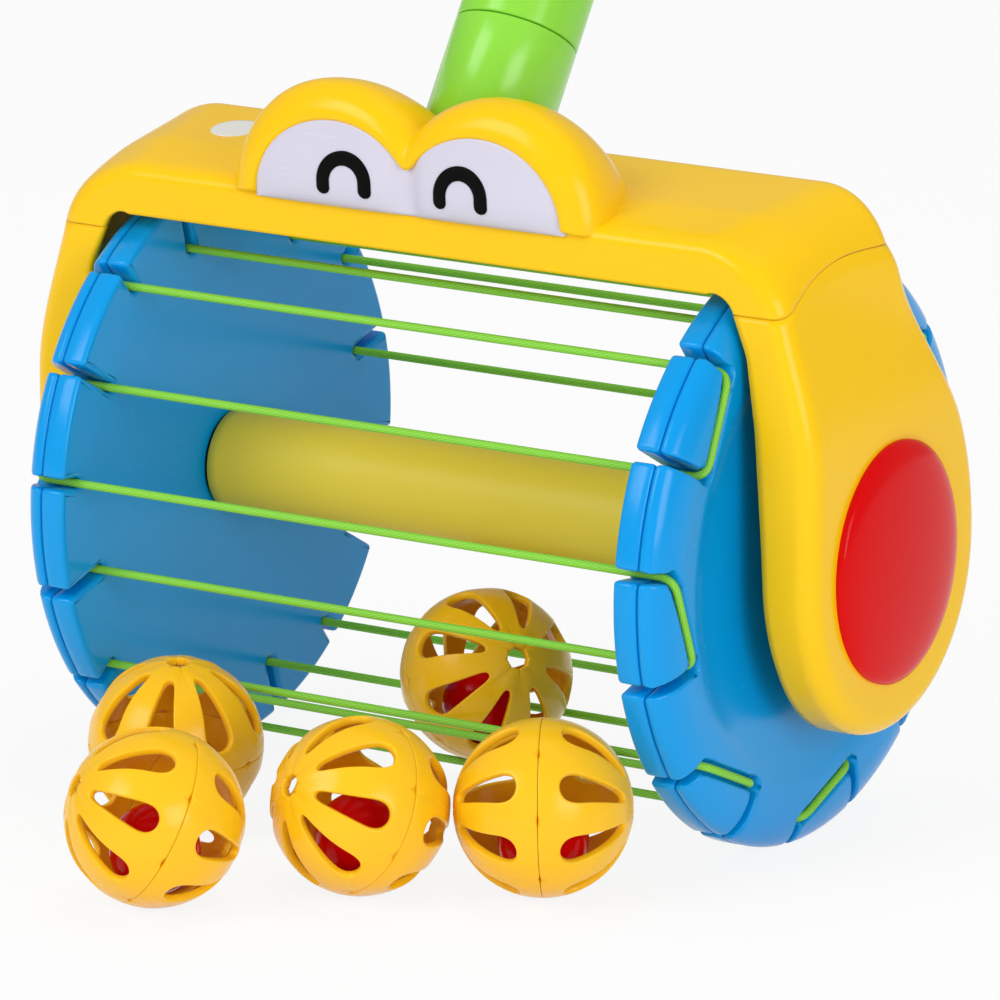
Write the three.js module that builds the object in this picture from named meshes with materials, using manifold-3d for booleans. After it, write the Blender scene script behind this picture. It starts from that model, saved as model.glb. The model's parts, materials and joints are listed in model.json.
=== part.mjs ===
// Ball-collecting toy vacuum: a yellow yoke on a leaning green pole, a drum of two blue notched
// wheels strung with one green elastic, and five cage balls that each hold a loose red ball.
// Millimetres, +Z up, the axle along X, the front of the toy towards -Y.
import * as THREE from "three";
import { mergeVertices } from "three/addons/utils/BufferGeometryUtils.js";
import Module from "manifold-3d";

const wasm = await Module();
wasm.setup();

// Clearances
const FIT = 0.3; // between pieces that touch in the real toy
const RUN = 0.8; // between pieces that turn past each other

// Balls
const BALL_D = 48.3;
const BALL_WALL = 2.2;
const BALL_SLOTS = 8; // in each half
const RATTLE_D = 0.51 * BALL_D;
const POLE_HOLE_R = 0.068 * BALL_D;

// Wheels
const WHEEL_R = 82.3;
const WHEEL_FACETS = 32;
const WHEEL_GAP = 177.8; // clear width between the two wheels
const WHEEL_INNER_T = 7.4;
const WHEEL_OUTER_T = 7.4;
const WHEEL_WEB = 3;
const RIM_EDGE = 1; // bevel at the inner edge of the rim
const SHOULDER_T = 6.5; // round of the outer edge, along the axle
const SHOULDER_R = 12; // and towards the middle
const PARTING_GROOVE = 0.8;
const DISH = 1.3; // how far the outer face lies below its ring of teeth

// Elastic and its slots
const CORD_D = 2.3;
const SLOTS = 16;
const SLOT_PHASE = THREE.MathUtils.degToRad(16.3); // first slot, from the top towards the front
const CORD_R_DEEP = 0.81 * WHEEL_R;
const CORD_R_SHALLOW = 0.91 * WHEEL_R;
const CORD_CLEARANCE = 0.35;
const CORD_SINK = 0.6; // middle of the elastic below the teeth it crosses
const CORD_SIDES = 6;
const BEND_STEPS = 3;

// Axle
const ROD_R = 3.1;
const TUBE_R = 14.6;
const TUBE_WALL = 2.2;
const SPIGOT_DEPTH = 8;
const HUB_R = 10;
const BUSH_WALL = 3.6;
const BUSH_PROUD = 1.5;

// Yoke
const WALL = 2.5;
const ARM_STANDOFF = 9.1; // wheel face to the thin part of the arm
const ARM_T = 14.3;
const LOBE_R = 47;
const HOUSE_FRONT = -43;
const HOUSE_BACK = 12;
const HEADROOM = 20.2; // wheel top to housing top
const HOUSE_CORNER_R = 32;
const BACK_ROUND = 10.5;
const CREASE_ROUND = 4; // between the front and the sloping top
const CREASE_DROP = 13;
const SEAM_RISE = 1.7; // joint line at the back above the wheel top
const SEAM_DROP = 11; // joint line, back to front
const BAR_LIP = 4.7; // lower edge of the bar above the joint line at the front
const TONGUE_T = 2.5;
const TONGUE_DEPTH = 9.1; // outer side of the housing to the tongue in its joint
const TONGUE_RISE = 4;
const TONGUE_ROOT = 6;
const CAP_R = 32.5;
const CAP_RIM = 1.5;
const CAP_HEIGHT = 5.5;

// Face
const BROW_HUMP_X = 27.5;
const BROW_HALF_W = 30;
const BROW_H = 33.5;
const BROW_VALLEY = 21.5;
const BROW_STAND = 3.4; // in front of the housing
const BROW_DEPTH = 25; // behind the housing front
const BROW_DROP = 14; // foot of the brow below the housing top
const EYE_X = 23.5;
const EYE_HALF_W = 26.5;
const EYE_H = 23;
const EYE_T = 2;
const EYE_RAISE = 1;

// Pole and grip
const POLE_R = 17.3;
const POLE_WALL = 2.2;
const POLE_FACETS = 24;
const POLE_LEAN = THREE.MathUtils.degToRad(33.2);
const POLE_Y = -7.4; // where the pole's axis leaves the housing
const POLE_SINK = 10;
const POLE_SEAM = 27;
const POLE_SPIGOT = 18;
const POLE_LENGTH = 360;
const GRIP_R = 12;
const GRIP_HALF = 52;
const GRIP_CUP = 22;

// Sizes that follow from the driving ones
const WHEEL_IN = WHEEL_GAP / 2;
const PARTING = WHEEL_IN + WHEEL_INNER_T;
const WHEEL_OUT = PARTING + FIT + WHEEL_OUTER_T;
const WHEEL_FACE = WHEEL_OUT - DISH;
const FLOOR = -WHEEL_R * Math.cos(Math.PI / WHEEL_FACETS);
const SLOT_W = CORD_D + 2 * CORD_CLEARANCE;
const RING_IN = CORD_R_DEEP - SLOT_W - WALL;
const CORD_OUT = WHEEL_OUT - CORD_SINK;
const ROD_BORE = ROD_R + FIT;
const ARM_IN = WHEEL_OUT + ARM_STANDOFF;
const ARM_OUT = ARM_IN + ARM_T;
const BUSH_R = ROD_BORE + BUSH_WALL;
const BUSH_IN = ARM_IN - BUSH_PROUD;
const BUSH_OUT = ARM_OUT - WALL - FIT;
const SEAM_BACK = WHEEL_R + SEAM_RISE;
const SEAM_FRONT = SEAM_BACK - SEAM_DROP;
const HOUSE_DEPTH = HOUSE_BACK - HOUSE_FRONT;
const TOP_Z = WHEEL_R + HEADROOM;
const BROW_FRONT = HOUSE_FRONT - BROW_STAND;
const BROW_BACK = HOUSE_FRONT + BROW_DEPTH;
const BROW_BASE = TOP_Z - BROW_DROP;
const EYE_BASE = BROW_BASE + EYE_RAISE;
const BIG = 400;

const X_AXIS = new THREE.Vector3(1, 0, 0);
const Y_AXIS = new THREE.Vector3(0, 1, 0);
const Z_AXIS = new THREE.Vector3(0, 0, 1);

// Moulded plastics and the steel rod
function plastic(colour, roughness) {
  return new THREE.MeshStandardMaterial({ color: colour, roughness, metalness: 0 });
}
const YELLOW = plastic(0xffcf16, 0.25);
const BALL_YELLOW = plastic(0xffc928, 0.3);
const BLUE = plastic(0x0a8fdc, 0.28);
const RED = plastic(0xd81518, 0.2);
const WHITE = plastic(0xe2e0ee, 0.3);
const GREEN = plastic(0x86d83c, 0.28);
const ELASTIC = plastic(0x83cf3a, 0.7);
const TUBE_YELLOW = plastic(0xd8c23c, 0.5);
const NYLON = plastic(0xe8e6dc, 0.45);
const STEEL = new THREE.MeshStandardMaterial({ color: 0xb8bcc2, roughness: 0.35, metalness: 1 });

// A geometry as a solid for joining and cutting.
function solid(geometry) {
  const flat = geometry.index ? geometry.toNonIndexed() : geometry.clone();
  flat.deleteAttribute("normal");
  flat.deleteAttribute("uv");
  const merged = mergeVertices(flat, 1e-4);
  const corners = merged.index.array;
  const kept = [];
  for (let i = 0; i < corners.length; i += 3) {
    const [a, b, c] = corners.subarray(i, i + 3);
    if (a !== b && b !== c && c !== a) kept.push(a, b, c);
  }
  const positions = merged.attributes.position.array;
  const parts = { numProp: 3, vertProperties: positions, triVerts: new Uint32Array(kept) };
  return new wasm.Manifold(new wasm.Mesh(parts));
}

function unionOf(solids) {
  return solids.reduce((all, one) => all.add(one));
}

// A solid back as a flat-shaded geometry.
function geometryOf(body) {
  const { vertProperties, triVerts } = body.getMesh();
  const geometry = new THREE.BufferGeometry();
  geometry.setAttribute("position", new THREE.BufferAttribute(vertProperties, 3));
  geometry.setIndex(new THREE.BufferAttribute(triVerts, 1));
  const flat = geometry.toNonIndexed();
  flat.computeVertexNormals();
  return flat;
}

function piece(name, body, material) {
  const geometry = body.isBufferGeometry ? body : geometryOf(body);
  const mesh = new THREE.Mesh(geometry, material);
  mesh.name = name;
  return mesh;
}

// Points of an arc from angle a0 to a1 in degrees.
function arc(cx, cy, r, a0, a1, steps) {
  const points = [];
  for (let i = 0; i <= steps; i++) {
    const a = THREE.MathUtils.degToRad(a0 + ((a1 - a0) * i) / steps);
    points.push([cx + r * Math.cos(a), cy + r * Math.sin(a)]);
  }
  return points;
}

// An outline that runs counterclockwise, moved inwards corner by corner.
function inset(points, by) {
  const n = points.length;
  return points.map((p, i) => {
    const before = points[(i + n - 1) % n];
    const after = points[(i + 1) % n];
    const u = new THREE.Vector2(p[0] - before[0], p[1] - before[1]).normalize();
    const v = new THREE.Vector2(after[0] - p[0], after[1] - p[1]).normalize();
    const mitre = by / (1 + u.dot(v));
    return [p[0] - (u.y + v.y) * mitre, p[1] + (u.x + v.x) * mitre];
  });
}

function extrude(points, depth) {
  const shape = new THREE.Shape(points.map(([a, b]) => new THREE.Vector2(a, b)));
  return new THREE.ExtrudeGeometry(shape, { depth, bevelEnabled: false, steps: 1 });
}

// A side outline of [y, z] points carried from x0 to x1.
function alongX(points, x0, x1) {
  const turn = new THREE.Matrix4().makeBasis(Y_AXIS, Z_AXIS, X_AXIS).setPosition(x0, 0, 0);
  return solid(extrude(points, x1 - x0).applyMatrix4(turn));
}

// A front outline of [x, z] points carried from y0 back to y1.
function alongY(points, y0, y1) {
  const backwards = Y_AXIS.clone().negate();
  const turn = new THREE.Matrix4().makeBasis(X_AXIS, Z_AXIS, backwards).setPosition(0, y1, 0);
  return solid(extrude(points, y1 - y0).applyMatrix4(turn));
}

// A profile of [radius, x] points turned about the axle.
function turned(profile, facets, start = 0) {
  const points = profile.map(([r, x]) => new THREE.Vector2(r, x));
  const lathe = new THREE.LatheGeometry(points, facets, start).rotateZ(-Math.PI / 2);
  return solid(lathe);
}

function ring(profile, facets, start = 0) {
  return turned([...profile, profile[0]], facets, start);
}

// A profile of [radius, distance] points turned about the pole, distances from the housing top.
const POLE_DIRECTION = new THREE.Vector3(0, Math.sin(POLE_LEAN), Math.cos(POLE_LEAN));
const POLE_FRAME = new THREE.Matrix4()
  .makeBasis(X_AXIS, POLE_DIRECTION, X_AXIS.clone().cross(POLE_DIRECTION))
  .setPosition(0, POLE_Y, TOP_Z);
function onPole(profile, facets) {
  const points = profile.map(([r, s]) => new THREE.Vector2(r, s));
  return solid(new THREE.LatheGeometry(points, facets).applyMatrix4(POLE_FRAME));
}
function poleCylinder(radius, s0, s1, facets = POLE_FACETS) {
  return onPole([[0, s0], [radius, s0], [radius, s1], [0, s1]], facets);
}

// Slots
function slotAngle(k) {
  return SLOT_PHASE + (2 * Math.PI * k) / SLOTS;
}
function cordRadius(k) {
  return k % 2 === 0 ? CORD_R_DEEP : CORD_R_SHALLOW;
}
function radial(angle) {
  return new THREE.Vector3(0, -Math.sin(angle), Math.cos(angle));
}
function slotPlace(k) {
  return radial(slotAngle(k)).multiplyScalar(cordRadius(k));
}

// One slot of a wheel: parallel sides, a round floor under the elastic, open at the rim.
function slotCutter(k) {
  const half = SLOT_W / 2;
  const floor = arc(0, cordRadius(k), half, 180, 360, 4);
  const outline = [...floor, [half, WHEEL_R + WALL], [-half, WHEEL_R + WALL]];
  const out = radial(slotAngle(k));
  const across = out.clone().cross(X_AXIS);
  const turn = new THREE.Matrix4().makeBasis(across, out, X_AXIS).setPosition(WHEEL_IN - WALL / 2, 0, 0);
  return solid(extrude(outline, WHEEL_OUT - WHEEL_IN + WALL).applyMatrix4(turn));
}

// The straight groove in the outer face where the elastic crosses the tooth from slot k to the next.
function grooveCutter(k) {
  const from = slotPlace(k);
  const to = slotPlace((k + 1) % SLOTS);
  const along = to.clone().sub(from);
  const middle = from.clone().add(to).multiplyScalar(0.5);
  const bottom = CORD_OUT - SLOT_W / 2;
  const height = WHEEL_OUT + WALL - bottom;
  const box = new THREE.BoxGeometry(along.length(), SLOT_W, height);
  const direction = along.clone().normalize();
  const side = X_AXIS.clone().cross(direction);
  const turn = new THREE.Matrix4().makeBasis(direction, side, X_AXIS);
  turn.setPosition(bottom + height / 2, middle.y, middle.z);
  return solid(box.applyMatrix4(turn));
}

// Right wheel halves; the left ones are mirrored, with the elastic on the other teeth.
const HALF_FACET = Math.PI / WHEEL_FACETS;
function wheelInner() {
  const joint = PARTING;
  const spigotR = TUBE_R - TUBE_WALL - FIT;
  const body = ring([
    [ROD_BORE, WHEEL_IN - SPIGOT_DEPTH],
    [spigotR, WHEEL_IN - SPIGOT_DEPTH],
    [spigotR, WHEEL_IN],
    [WHEEL_R - RIM_EDGE, WHEEL_IN],
    [WHEEL_R, WHEEL_IN + RIM_EDGE],
    [WHEEL_R, joint - PARTING_GROOVE],
    [WHEEL_R - PARTING_GROOVE, joint],
    [RING_IN, joint],
    [RING_IN, WHEEL_IN + WHEEL_WEB],
    [HUB_R, WHEEL_IN + WHEEL_WEB],
    [HUB_R, joint],
    [ROD_BORE, joint],
  ], WHEEL_FACETS, HALF_FACET);
  const slots = Array.from({ length: SLOTS }, (_, k) => slotCutter(k));
  return body.subtract(unionOf(slots));
}

function wheelOuter(firstTooth) {
  const joint = PARTING + FIT;
  const shoulder = arc(0, 0, 1, 0, 90, 3).map(([across, along]) => [
    WHEEL_R - SHOULDER_R * (1 - across),
    WHEEL_OUT - SHOULDER_T * (1 - along),
  ]);
  const hubEnd = BUSH_IN - FIT;
  const body = ring([
    [ROD_BORE, joint],
    [HUB_R, joint],
    [HUB_R, WHEEL_FACE - WHEEL_WEB],
    [RING_IN, WHEEL_FACE - WHEEL_WEB],
    [RING_IN, joint],
    [WHEEL_R - PARTING_GROOVE, joint],
    [WHEEL_R, joint + PARTING_GROOVE],
    ...shoulder,
    [RING_IN + WALL, WHEEL_OUT],
    [RING_IN - WALL, WHEEL_FACE],
    [HUB_R, WHEEL_FACE],
    [HUB_R, hubEnd],
    [ROD_BORE, hubEnd],
  ], WHEEL_FACETS, HALF_FACET);
  const cutters = [];
  for (let k = 0; k < SLOTS; k++) cutters.push(slotCutter(k));
  for (let k = firstTooth; k < SLOTS; k += 2) cutters.push(grooveCutter(k));
  return body.subtract(unionOf(cutters));
}

function mirrored(mesh) {
  mesh.scale.x = -1;
  return mesh;
}

// The elastic: one closed loop, out through a slot, over a tooth and back through the next slot,
// over the odd teeth on the right wheel and the even teeth on the left one.
function cordBend(corner, from, to, into) {
  const r = SLOT_W / 2;
  const a = from.clone().sub(corner).normalize();
  const b = to.clone().sub(corner).normalize();
  const half = a.angleTo(b) / 2;
  const middle = a.clone().add(b).normalize().multiplyScalar(r / Math.sin(half)).add(corner);
  const start = a.clone().multiplyScalar(r / Math.tan(half)).add(corner).sub(middle);
  const end = b.clone().multiplyScalar(r / Math.tan(half)).add(corner).sub(middle);
  const sweep = start.angleTo(end);
  for (let i = 0; i <= BEND_STEPS; i++) {
    const t = i / BEND_STEPS;
    const p = start.clone().multiplyScalar(Math.sin((1 - t) * sweep));
    p.addScaledVector(end, Math.sin(t * sweep)).divideScalar(Math.sin(sweep));
    into.push(p.add(middle));
  }
}

function cordRoute() {
  // Slot k is entered on the wheel where the elastic crosses the tooth before it.
  const ordered = [];
  for (let k = 0; k < SLOTS; k++) {
    const entrySide = k % 2 === 0 ? 1 : -1;
    ordered.push(slotPlace(k).setX(entrySide * CORD_OUT));
    ordered.push(slotPlace(k).setX(-entrySide * CORD_OUT));
  }
  const route = [];
  ordered.forEach((corner, i) => {
    const before = ordered[(i + ordered.length - 1) % ordered.length];
    const after = ordered[(i + 1) % ordered.length];
    cordBend(corner, before, after, route);
  });
  return route;
}

// A closed path whose steps are exactly the points of the route.
class Route extends THREE.Curve {
  constructor(points) {
    super();
    this.points = points;
  }
  at(i) {
    const n = this.points.length;
    return this.points[((i % n) + n) % n];
  }
  getPointAt(u) {
    return this.at(Math.round(u * this.points.length)).clone();
  }
  getTangentAt(u) {
    const i = Math.round(u * this.points.length);
    const inward = this.at(i).clone().sub(this.at(i - 1)).normalize();
    const outward = this.at(i + 1).clone().sub(this.at(i)).normalize();
    return inward.add(outward).normalize();
  }
}

// Least gap of the elastic to itself, between stretches that are not neighbours.
function leastGap(points) {
  const n = points.length;
  const dense = [];
  for (let i = 0; i < n; i++) {
    const next = points[(i + 1) % n];
    const steps = Math.max(1, Math.round(points[i].distanceTo(next) / 4));
    for (let j = 0; j < steps; j++) dense.push(points[i].clone().lerp(next, j / steps));
  }
  let least = Infinity;
  const reach = dense.map((p, i) => p.distanceTo(dense[(i + 1) % dense.length]));
  for (let i = 0; i < dense.length; i++) {
    let travelled = 0;
    for (let j = i + 1; j < dense.length; j++) {
      travelled += reach[j - 1];
      const closing = i === 0 && j === dense.length - 1;
      if (travelled > 5 * CORD_D && !closing) least = Math.min(least, dense[i].distanceTo(dense[j]));
    }
  }
  return least - CORD_D;
}

function elasticCord() {
  const route = cordRoute();
  const length = route.reduce((sum, p, i) => sum + p.distanceTo(route[(i + 1) % route.length]), 0);
  console.log(`elastic: ${length.toFixed(0)} mm, least gap to itself ${leastGap(route).toFixed(2)} mm`);
  const tube = new THREE.TubeGeometry(new Route(route), route.length, CORD_D / 2, CORD_SIDES, true);
  return piece("elastic_cord", solid(tube), ELASTIC);
}

// Axle
function axleTube() {
  const end = WHEEL_IN - FIT;
  const bore = TUBE_R - TUBE_WALL;
  const profile = [[bore, -end], [TUBE_R, -end], [TUBE_R, end], [bore, end]];
  return piece("axle_tube", ring(profile, 32), TUBE_YELLOW);
}
function axleRod() {
  const end = BUSH_OUT;
  return piece("axle_rod", turned([[0, -end], [ROD_R, -end], [ROD_R, end], [0, end]], 16), STEEL);
}

// Housing outlines
const SEAM = [
  [HOUSE_FRONT, SEAM_FRONT],
  [HOUSE_FRONT + 0.16 * HOUSE_DEPTH, SEAM_FRONT + 0.07 * SEAM_DROP],
  [HOUSE_FRONT + 0.38 * HOUSE_DEPTH, SEAM_BACK - 0.3 * SEAM_DROP],
  [HOUSE_FRONT + 0.6 * HOUSE_DEPTH, SEAM_BACK],
  [HOUSE_BACK, SEAM_BACK],
];
function seamLine(raise) {
  return SEAM.map(([y, z]) => [y, z + raise]);
}
function houseSection(seamRaise) {
  return [
    ...seamLine(seamRaise),
    [HOUSE_BACK, TOP_Z - BACK_ROUND],
    [HOUSE_BACK - 0.38 * BACK_ROUND, TOP_Z - 0.33 * BACK_ROUND],
    [HOUSE_BACK - 1.14 * BACK_ROUND, TOP_Z],
    [HOUSE_BACK - 2.3 * BACK_ROUND, TOP_Z - 0.02 * BACK_ROUND],
    [HOUSE_FRONT + 0.9 * CREASE_ROUND, TOP_Z - CREASE_DROP + CREASE_ROUND],
    [HOUSE_FRONT, TOP_Z - CREASE_DROP],
  ];
}
function houseOutline(low) {
  const corner = ARM_OUT - HOUSE_CORNER_R;
  const spring = TOP_Z - HOUSE_CORNER_R;
  return [
    [-ARM_OUT, low],
    [ARM_OUT, low],
    ...arc(corner, spring, HOUSE_CORNER_R, 0, 90, 8),
    ...arc(-corner, spring, HOUSE_CORNER_R, 90, 180, 8),
  ];
}
const BELOW = -LOBE_R - WALL;

// Inner edge of an arm from the joint line down, as [x, z] points: close to the wheel at the top,
// standing off it lower down.
const ARM_FLARE = [
  [ARM_IN - 1.21 * ARM_STANDOFF, SEAM_FRONT],
  [ARM_IN - 0.75 * ARM_STANDOFF, 0.75 * WHEEL_R],
  [ARM_IN - 0.45 * ARM_STANDOFF, 0.5 * WHEEL_R],
  [ARM_IN - 0.22 * ARM_STANDOFF, 0.12 * WHEEL_R],
  [ARM_IN, -0.3 * WHEEL_R],
];

function topShell() {
  const ends = alongY(houseOutline(BELOW), -BIG, BIG);
  const outer = alongX(houseSection(FIT / 2), -BIG, BIG).intersect(ends);
  const room = alongX(inset(houseSection(-BIG), WALL), -BIG, BIG);
  const roomEnds = alongY(inset(houseOutline(-BIG), WALL), -BIG, BIG);
  const socket = poleCylinder(POLE_R + FIT + WALL, -POLE_SINK, 2 * POLE_SINK).intersect(outer);
  const shell = outer.subtract(room.intersect(roomEnds)).add(socket);
  const hole = poleCylinder(POLE_R + FIT, -BIG, BIG);
  const half = ARM_FLARE[0][0];
  const lip = SEAM_FRONT + BAR_LIP;
  const below = alongY([[-half, BELOW], [half, BELOW], [half, lip], [-half, lip]], -BIG, BIG);
  return piece("top_shell", shell.subtract(hole).subtract(below), YELLOW);
}

// Side outline of an arm: straight front, round lobe about the axle, back edge touching the lobe.
function armOutline() {
  const top = [HOUSE_BACK, SEAM_BACK - FIT / 2];
  const reach = Math.hypot(...top);
  const bearing = Math.atan2(top[1], top[0]) - Math.acos(LOBE_R / reach);
  const touch = THREE.MathUtils.radToDeg(bearing);
  const front = THREE.MathUtils.radToDeg(Math.acos(HOUSE_FRONT / LOBE_R));
  return [
    ...arc(0, 0, LOBE_R, front, 360 + touch, 18),
    ...seamLine(-FIT / 2).reverse(),
  ];
}

// Front outline of the right arm.
function armFront() {
  return [
    [ARM_IN, BELOW],
    [ARM_OUT + WALL, BELOW],
    [ARM_OUT + WALL, TOP_Z],
    [ARM_FLARE[0][0], TOP_Z],
    ...ARM_FLARE,
  ];
}

function arm() {
  const outline = armOutline();
  const ends = alongY(houseOutline(BELOW), -BIG, BIG);
  const outer = alongX(outline, 0, BIG).intersect(ends).intersect(alongY(armFront(), -BIG, BIG));
  const roomEnds = alongY(inset(houseOutline(-BIG), WALL), -BIG, BIG);
  const room = alongX(inset(outline, WALL), 0, BIG).intersect(roomEnds);
  const bossR = BUSH_R + FIT + WALL;
  const bossEnd = ARM_OUT - WALL / 2;
  const boss = turned([[0, BUSH_IN], [bossR, BUSH_IN], [bossR, bossEnd], [0, bossEnd]], 24);
  const tongueFront = HOUSE_FRONT + 0.25 * HOUSE_DEPTH;
  const tongueBack = HOUSE_BACK - 0.15 * HOUSE_DEPTH;
  const tongueTop = SEAM_BACK + TONGUE_RISE;
  const tongueLow = SEAM_BACK - TONGUE_ROOT;
  const tongueOut = ARM_OUT - TONGUE_DEPTH;
  const tongue = alongX([[tongueFront, tongueLow], [tongueBack, tongueLow],
    [tongueBack, tongueTop], [tongueFront, tongueTop]], tongueOut - TONGUE_T, tongueOut);
  const bore = turned([[0, 0], [BUSH_R + FIT, 0], [BUSH_R + FIT, BIG], [0, BIG]], 24);
  const sweep = WHEEL_R + RUN;
  const wheelRoom = turned([[0, 0], [sweep, 0], [sweep, WHEEL_OUT + RUN], [0, WHEEL_OUT + RUN]], 64);
  return outer.subtract(room).add(boss).add(tongue).subtract(bore).subtract(wheelRoom);
}

function bush() {
  return ring([[ROD_BORE, BUSH_IN], [BUSH_R, BUSH_IN], [BUSH_R, BUSH_OUT], [ROD_BORE, BUSH_OUT]], 24);
}

// Red dome over the bearing, with a plug in the bore behind it.
function hubCap() {
  const back = ARM_OUT + FIT;
  const dome = [];
  const steps = 4;
  for (let i = 0; i <= steps; i++) {
    const a = (Math.PI / 2) * (i / steps);
    dome.push([CAP_R * Math.cos(a), back + CAP_RIM + CAP_HEIGHT * Math.sin(a)]);
  }
  dome[steps][0] = 0;
  const plug = BUSH_OUT + 2 * FIT;
  return turned([[0, plug], [BUSH_R, plug], [BUSH_R, back], [CAP_R, back], ...dome], 32);
}

// Two rounded humps side by side, with the dip between them filled to the valley height.
function humps(centre, halfWidth, height, valley, base) {
  const steps = 12;
  const right = [];
  for (let i = 0; i <= steps; i++) {
    const a = Math.PI * (i / steps);
    const x = centre + halfWidth * Math.cos(a);
    const z = base + Math.max(height * Math.sin(a), x < centre ? valley : 0);
    if (x > 0) right.push([x, z]);
  }
  const left = right.map(([x, z]) => [-x, z]).reverse();
  return [...right, [0, base + valley], ...left];
}

function brow() {
  const outline = humps(BROW_HUMP_X, BROW_HALF_W, BROW_H, BROW_VALLEY, BROW_BASE);
  const body = alongY(outline, BROW_FRONT, BROW_BACK);
  const house = alongX(inset(houseSection(-TOP_Z / 2), -FIT), -BIG, BIG);
  const pole = poleCylinder(POLE_R + FIT, -BIG, BIG);
  return piece("brow", body.subtract(house).subtract(pole), YELLOW);
}

function eyePanel() {
  const valley = EYE_H * Math.sqrt(1 - (EYE_X / EYE_HALF_W) ** 2);
  const outline = humps(EYE_X, EYE_HALF_W, EYE_H, valley, EYE_BASE);
  return piece("eye_panel", alongY(outline, BROW_FRONT - FIT - EYE_T, BROW_FRONT - FIT), WHITE);
}

// Pole in two lengths with a spigot between them, and a cross grip.
function poleLower() {
  const bore = POLE_R - POLE_WALL;
  const profile = [[bore, -POLE_SINK], [POLE_R, -POLE_SINK], [POLE_R, POLE_SEAM], [bore, POLE_SEAM]];
  return piece("pole_lower", onPole([...profile, profile[0]], POLE_FACETS), GREEN);
}
function poleUpper() {
  const bore = POLE_R - POLE_WALL;
  const spigotR = bore - FIT;
  const spigotBore = spigotR - POLE_WALL;
  const foot = POLE_SEAM + FIT;
  const profile = [
    [spigotBore, POLE_SEAM - POLE_SPIGOT],
    [spigotR, POLE_SEAM - POLE_SPIGOT],
    [spigotR, foot],
    [POLE_R, foot],
    [POLE_R, POLE_LENGTH],
    [bore, POLE_LENGTH],
    [bore, foot + 2 * POLE_WALL],
    [spigotBore, foot + 2 * POLE_WALL],
  ];
  return piece("pole_upper", onPole([...profile, profile[0]], POLE_FACETS), GREEN);
}
function grip() {
  const cupR = POLE_R + FIT + POLE_WALL;
  const lid = POLE_LENGTH + FIT;
  const cup = onPole([[0, lid], [POLE_R + FIT, lid], [POLE_R + FIT, POLE_LENGTH - GRIP_CUP],
    [cupR, POLE_LENGTH - GRIP_CUP], [cupR, lid + POLE_WALL], [0, lid + POLE_WALL]], POLE_FACETS);
  const half = [];
  for (let i = 0; i <= 4; i++) {
    const a = (Math.PI / 2) * (i / 4);
    half.push([GRIP_R * Math.cos(a), GRIP_HALF + GRIP_R * Math.sin(a)]);
  }
  half[4][0] = 0;
  const otherHalf = half.map(([r, x]) => [r, -x]).reverse();
  const centre = new THREE.Vector3(0, POLE_Y, TOP_Z).addScaledVector(POLE_DIRECTION, lid + GRIP_R);
  const bar = turned([...otherHalf, ...half], 20).translate([centre.x, centre.y, centre.z]);
  return piece("grip", cup.add(bar), YELLOW);
}

// Half of a cage ball about the Y axis: a shell with teardrop slots and a hole at its end.
function ballHalf() {
  const outer = BALL_D / 2;
  const inner = outer - BALL_WALL;
  const rows = 3;
  const profile = [];
  const holeAngle = Math.asin(POLE_HOLE_R / outer);
  for (let i = 0; i <= rows; i++) {
    const a = (Math.PI / 2 - holeAngle) * (i / rows);
    profile.push(new THREE.Vector2(outer * Math.cos(a), FIT / 2 + (outer - FIT) * Math.sin(a)));
  }
  for (let i = rows; i >= 0; i--) {
    const a = (Math.PI / 2 - holeAngle) * (i / rows);
    profile.push(new THREE.Vector2(inner * Math.cos(a), FIT / 2 + (inner - FIT) * Math.sin(a)));
  }
  profile.push(profile[0].clone());
  const shell = solid(new THREE.LatheGeometry(profile, 2 * BALL_SLOTS, Math.PI / (2 * BALL_SLOTS)));
  const wide = 0.155 * outer;
  const narrow = 0.055 * outer;
  const outline = [
    ...arc(0, -0.235 * outer, wide, 180, 360, 3),
    ...arc(0, 0.335 * outer, narrow, 0, 180, 2),
  ];
  const tilt = THREE.MathUtils.degToRad(38);
  const slots = Array.from({ length: BALL_SLOTS }, (_, i) => {
    const slot = extrude(outline, outer).translate(0, 0, outer / 2);
    slot.rotateX(-tilt).rotateY((2 * Math.PI * i) / BALL_SLOTS);
    return solid(slot);
  });
  return geometryOf(shell.subtract(unionOf(slots)));
}

// Where each ball lies on the floor, in ball diameters: how far it is from the middle, and its gap
// to the elastic in the side view. Then the direction of its end.
const BALLS = [
  { name: "ball_1", across: -0.271, gap: 1.2, end: [-0.51, -0.74, 0.44], spin: 0.1 },
  { name: "ball_2", across: -1.035, gap: 0.0435, end: [-0.41, 0.82, 0.39], spin: 0.3 },
  { name: "ball_3", across: 0.553, gap: 0.472, end: [-0.52, -0.79, 0.32], spin: 0.2 },
  { name: "ball_4", across: 1.419, gap: 0.027, end: [0.87, 0.48, 0.02], spin: 0 },
];
const CAUGHT = { name: "ball_5", slot: 7, end: [0.76, -0.5, 0.42], spin: 0.2 };
const HALF_GEOMETRY = ballHalf();

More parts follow.
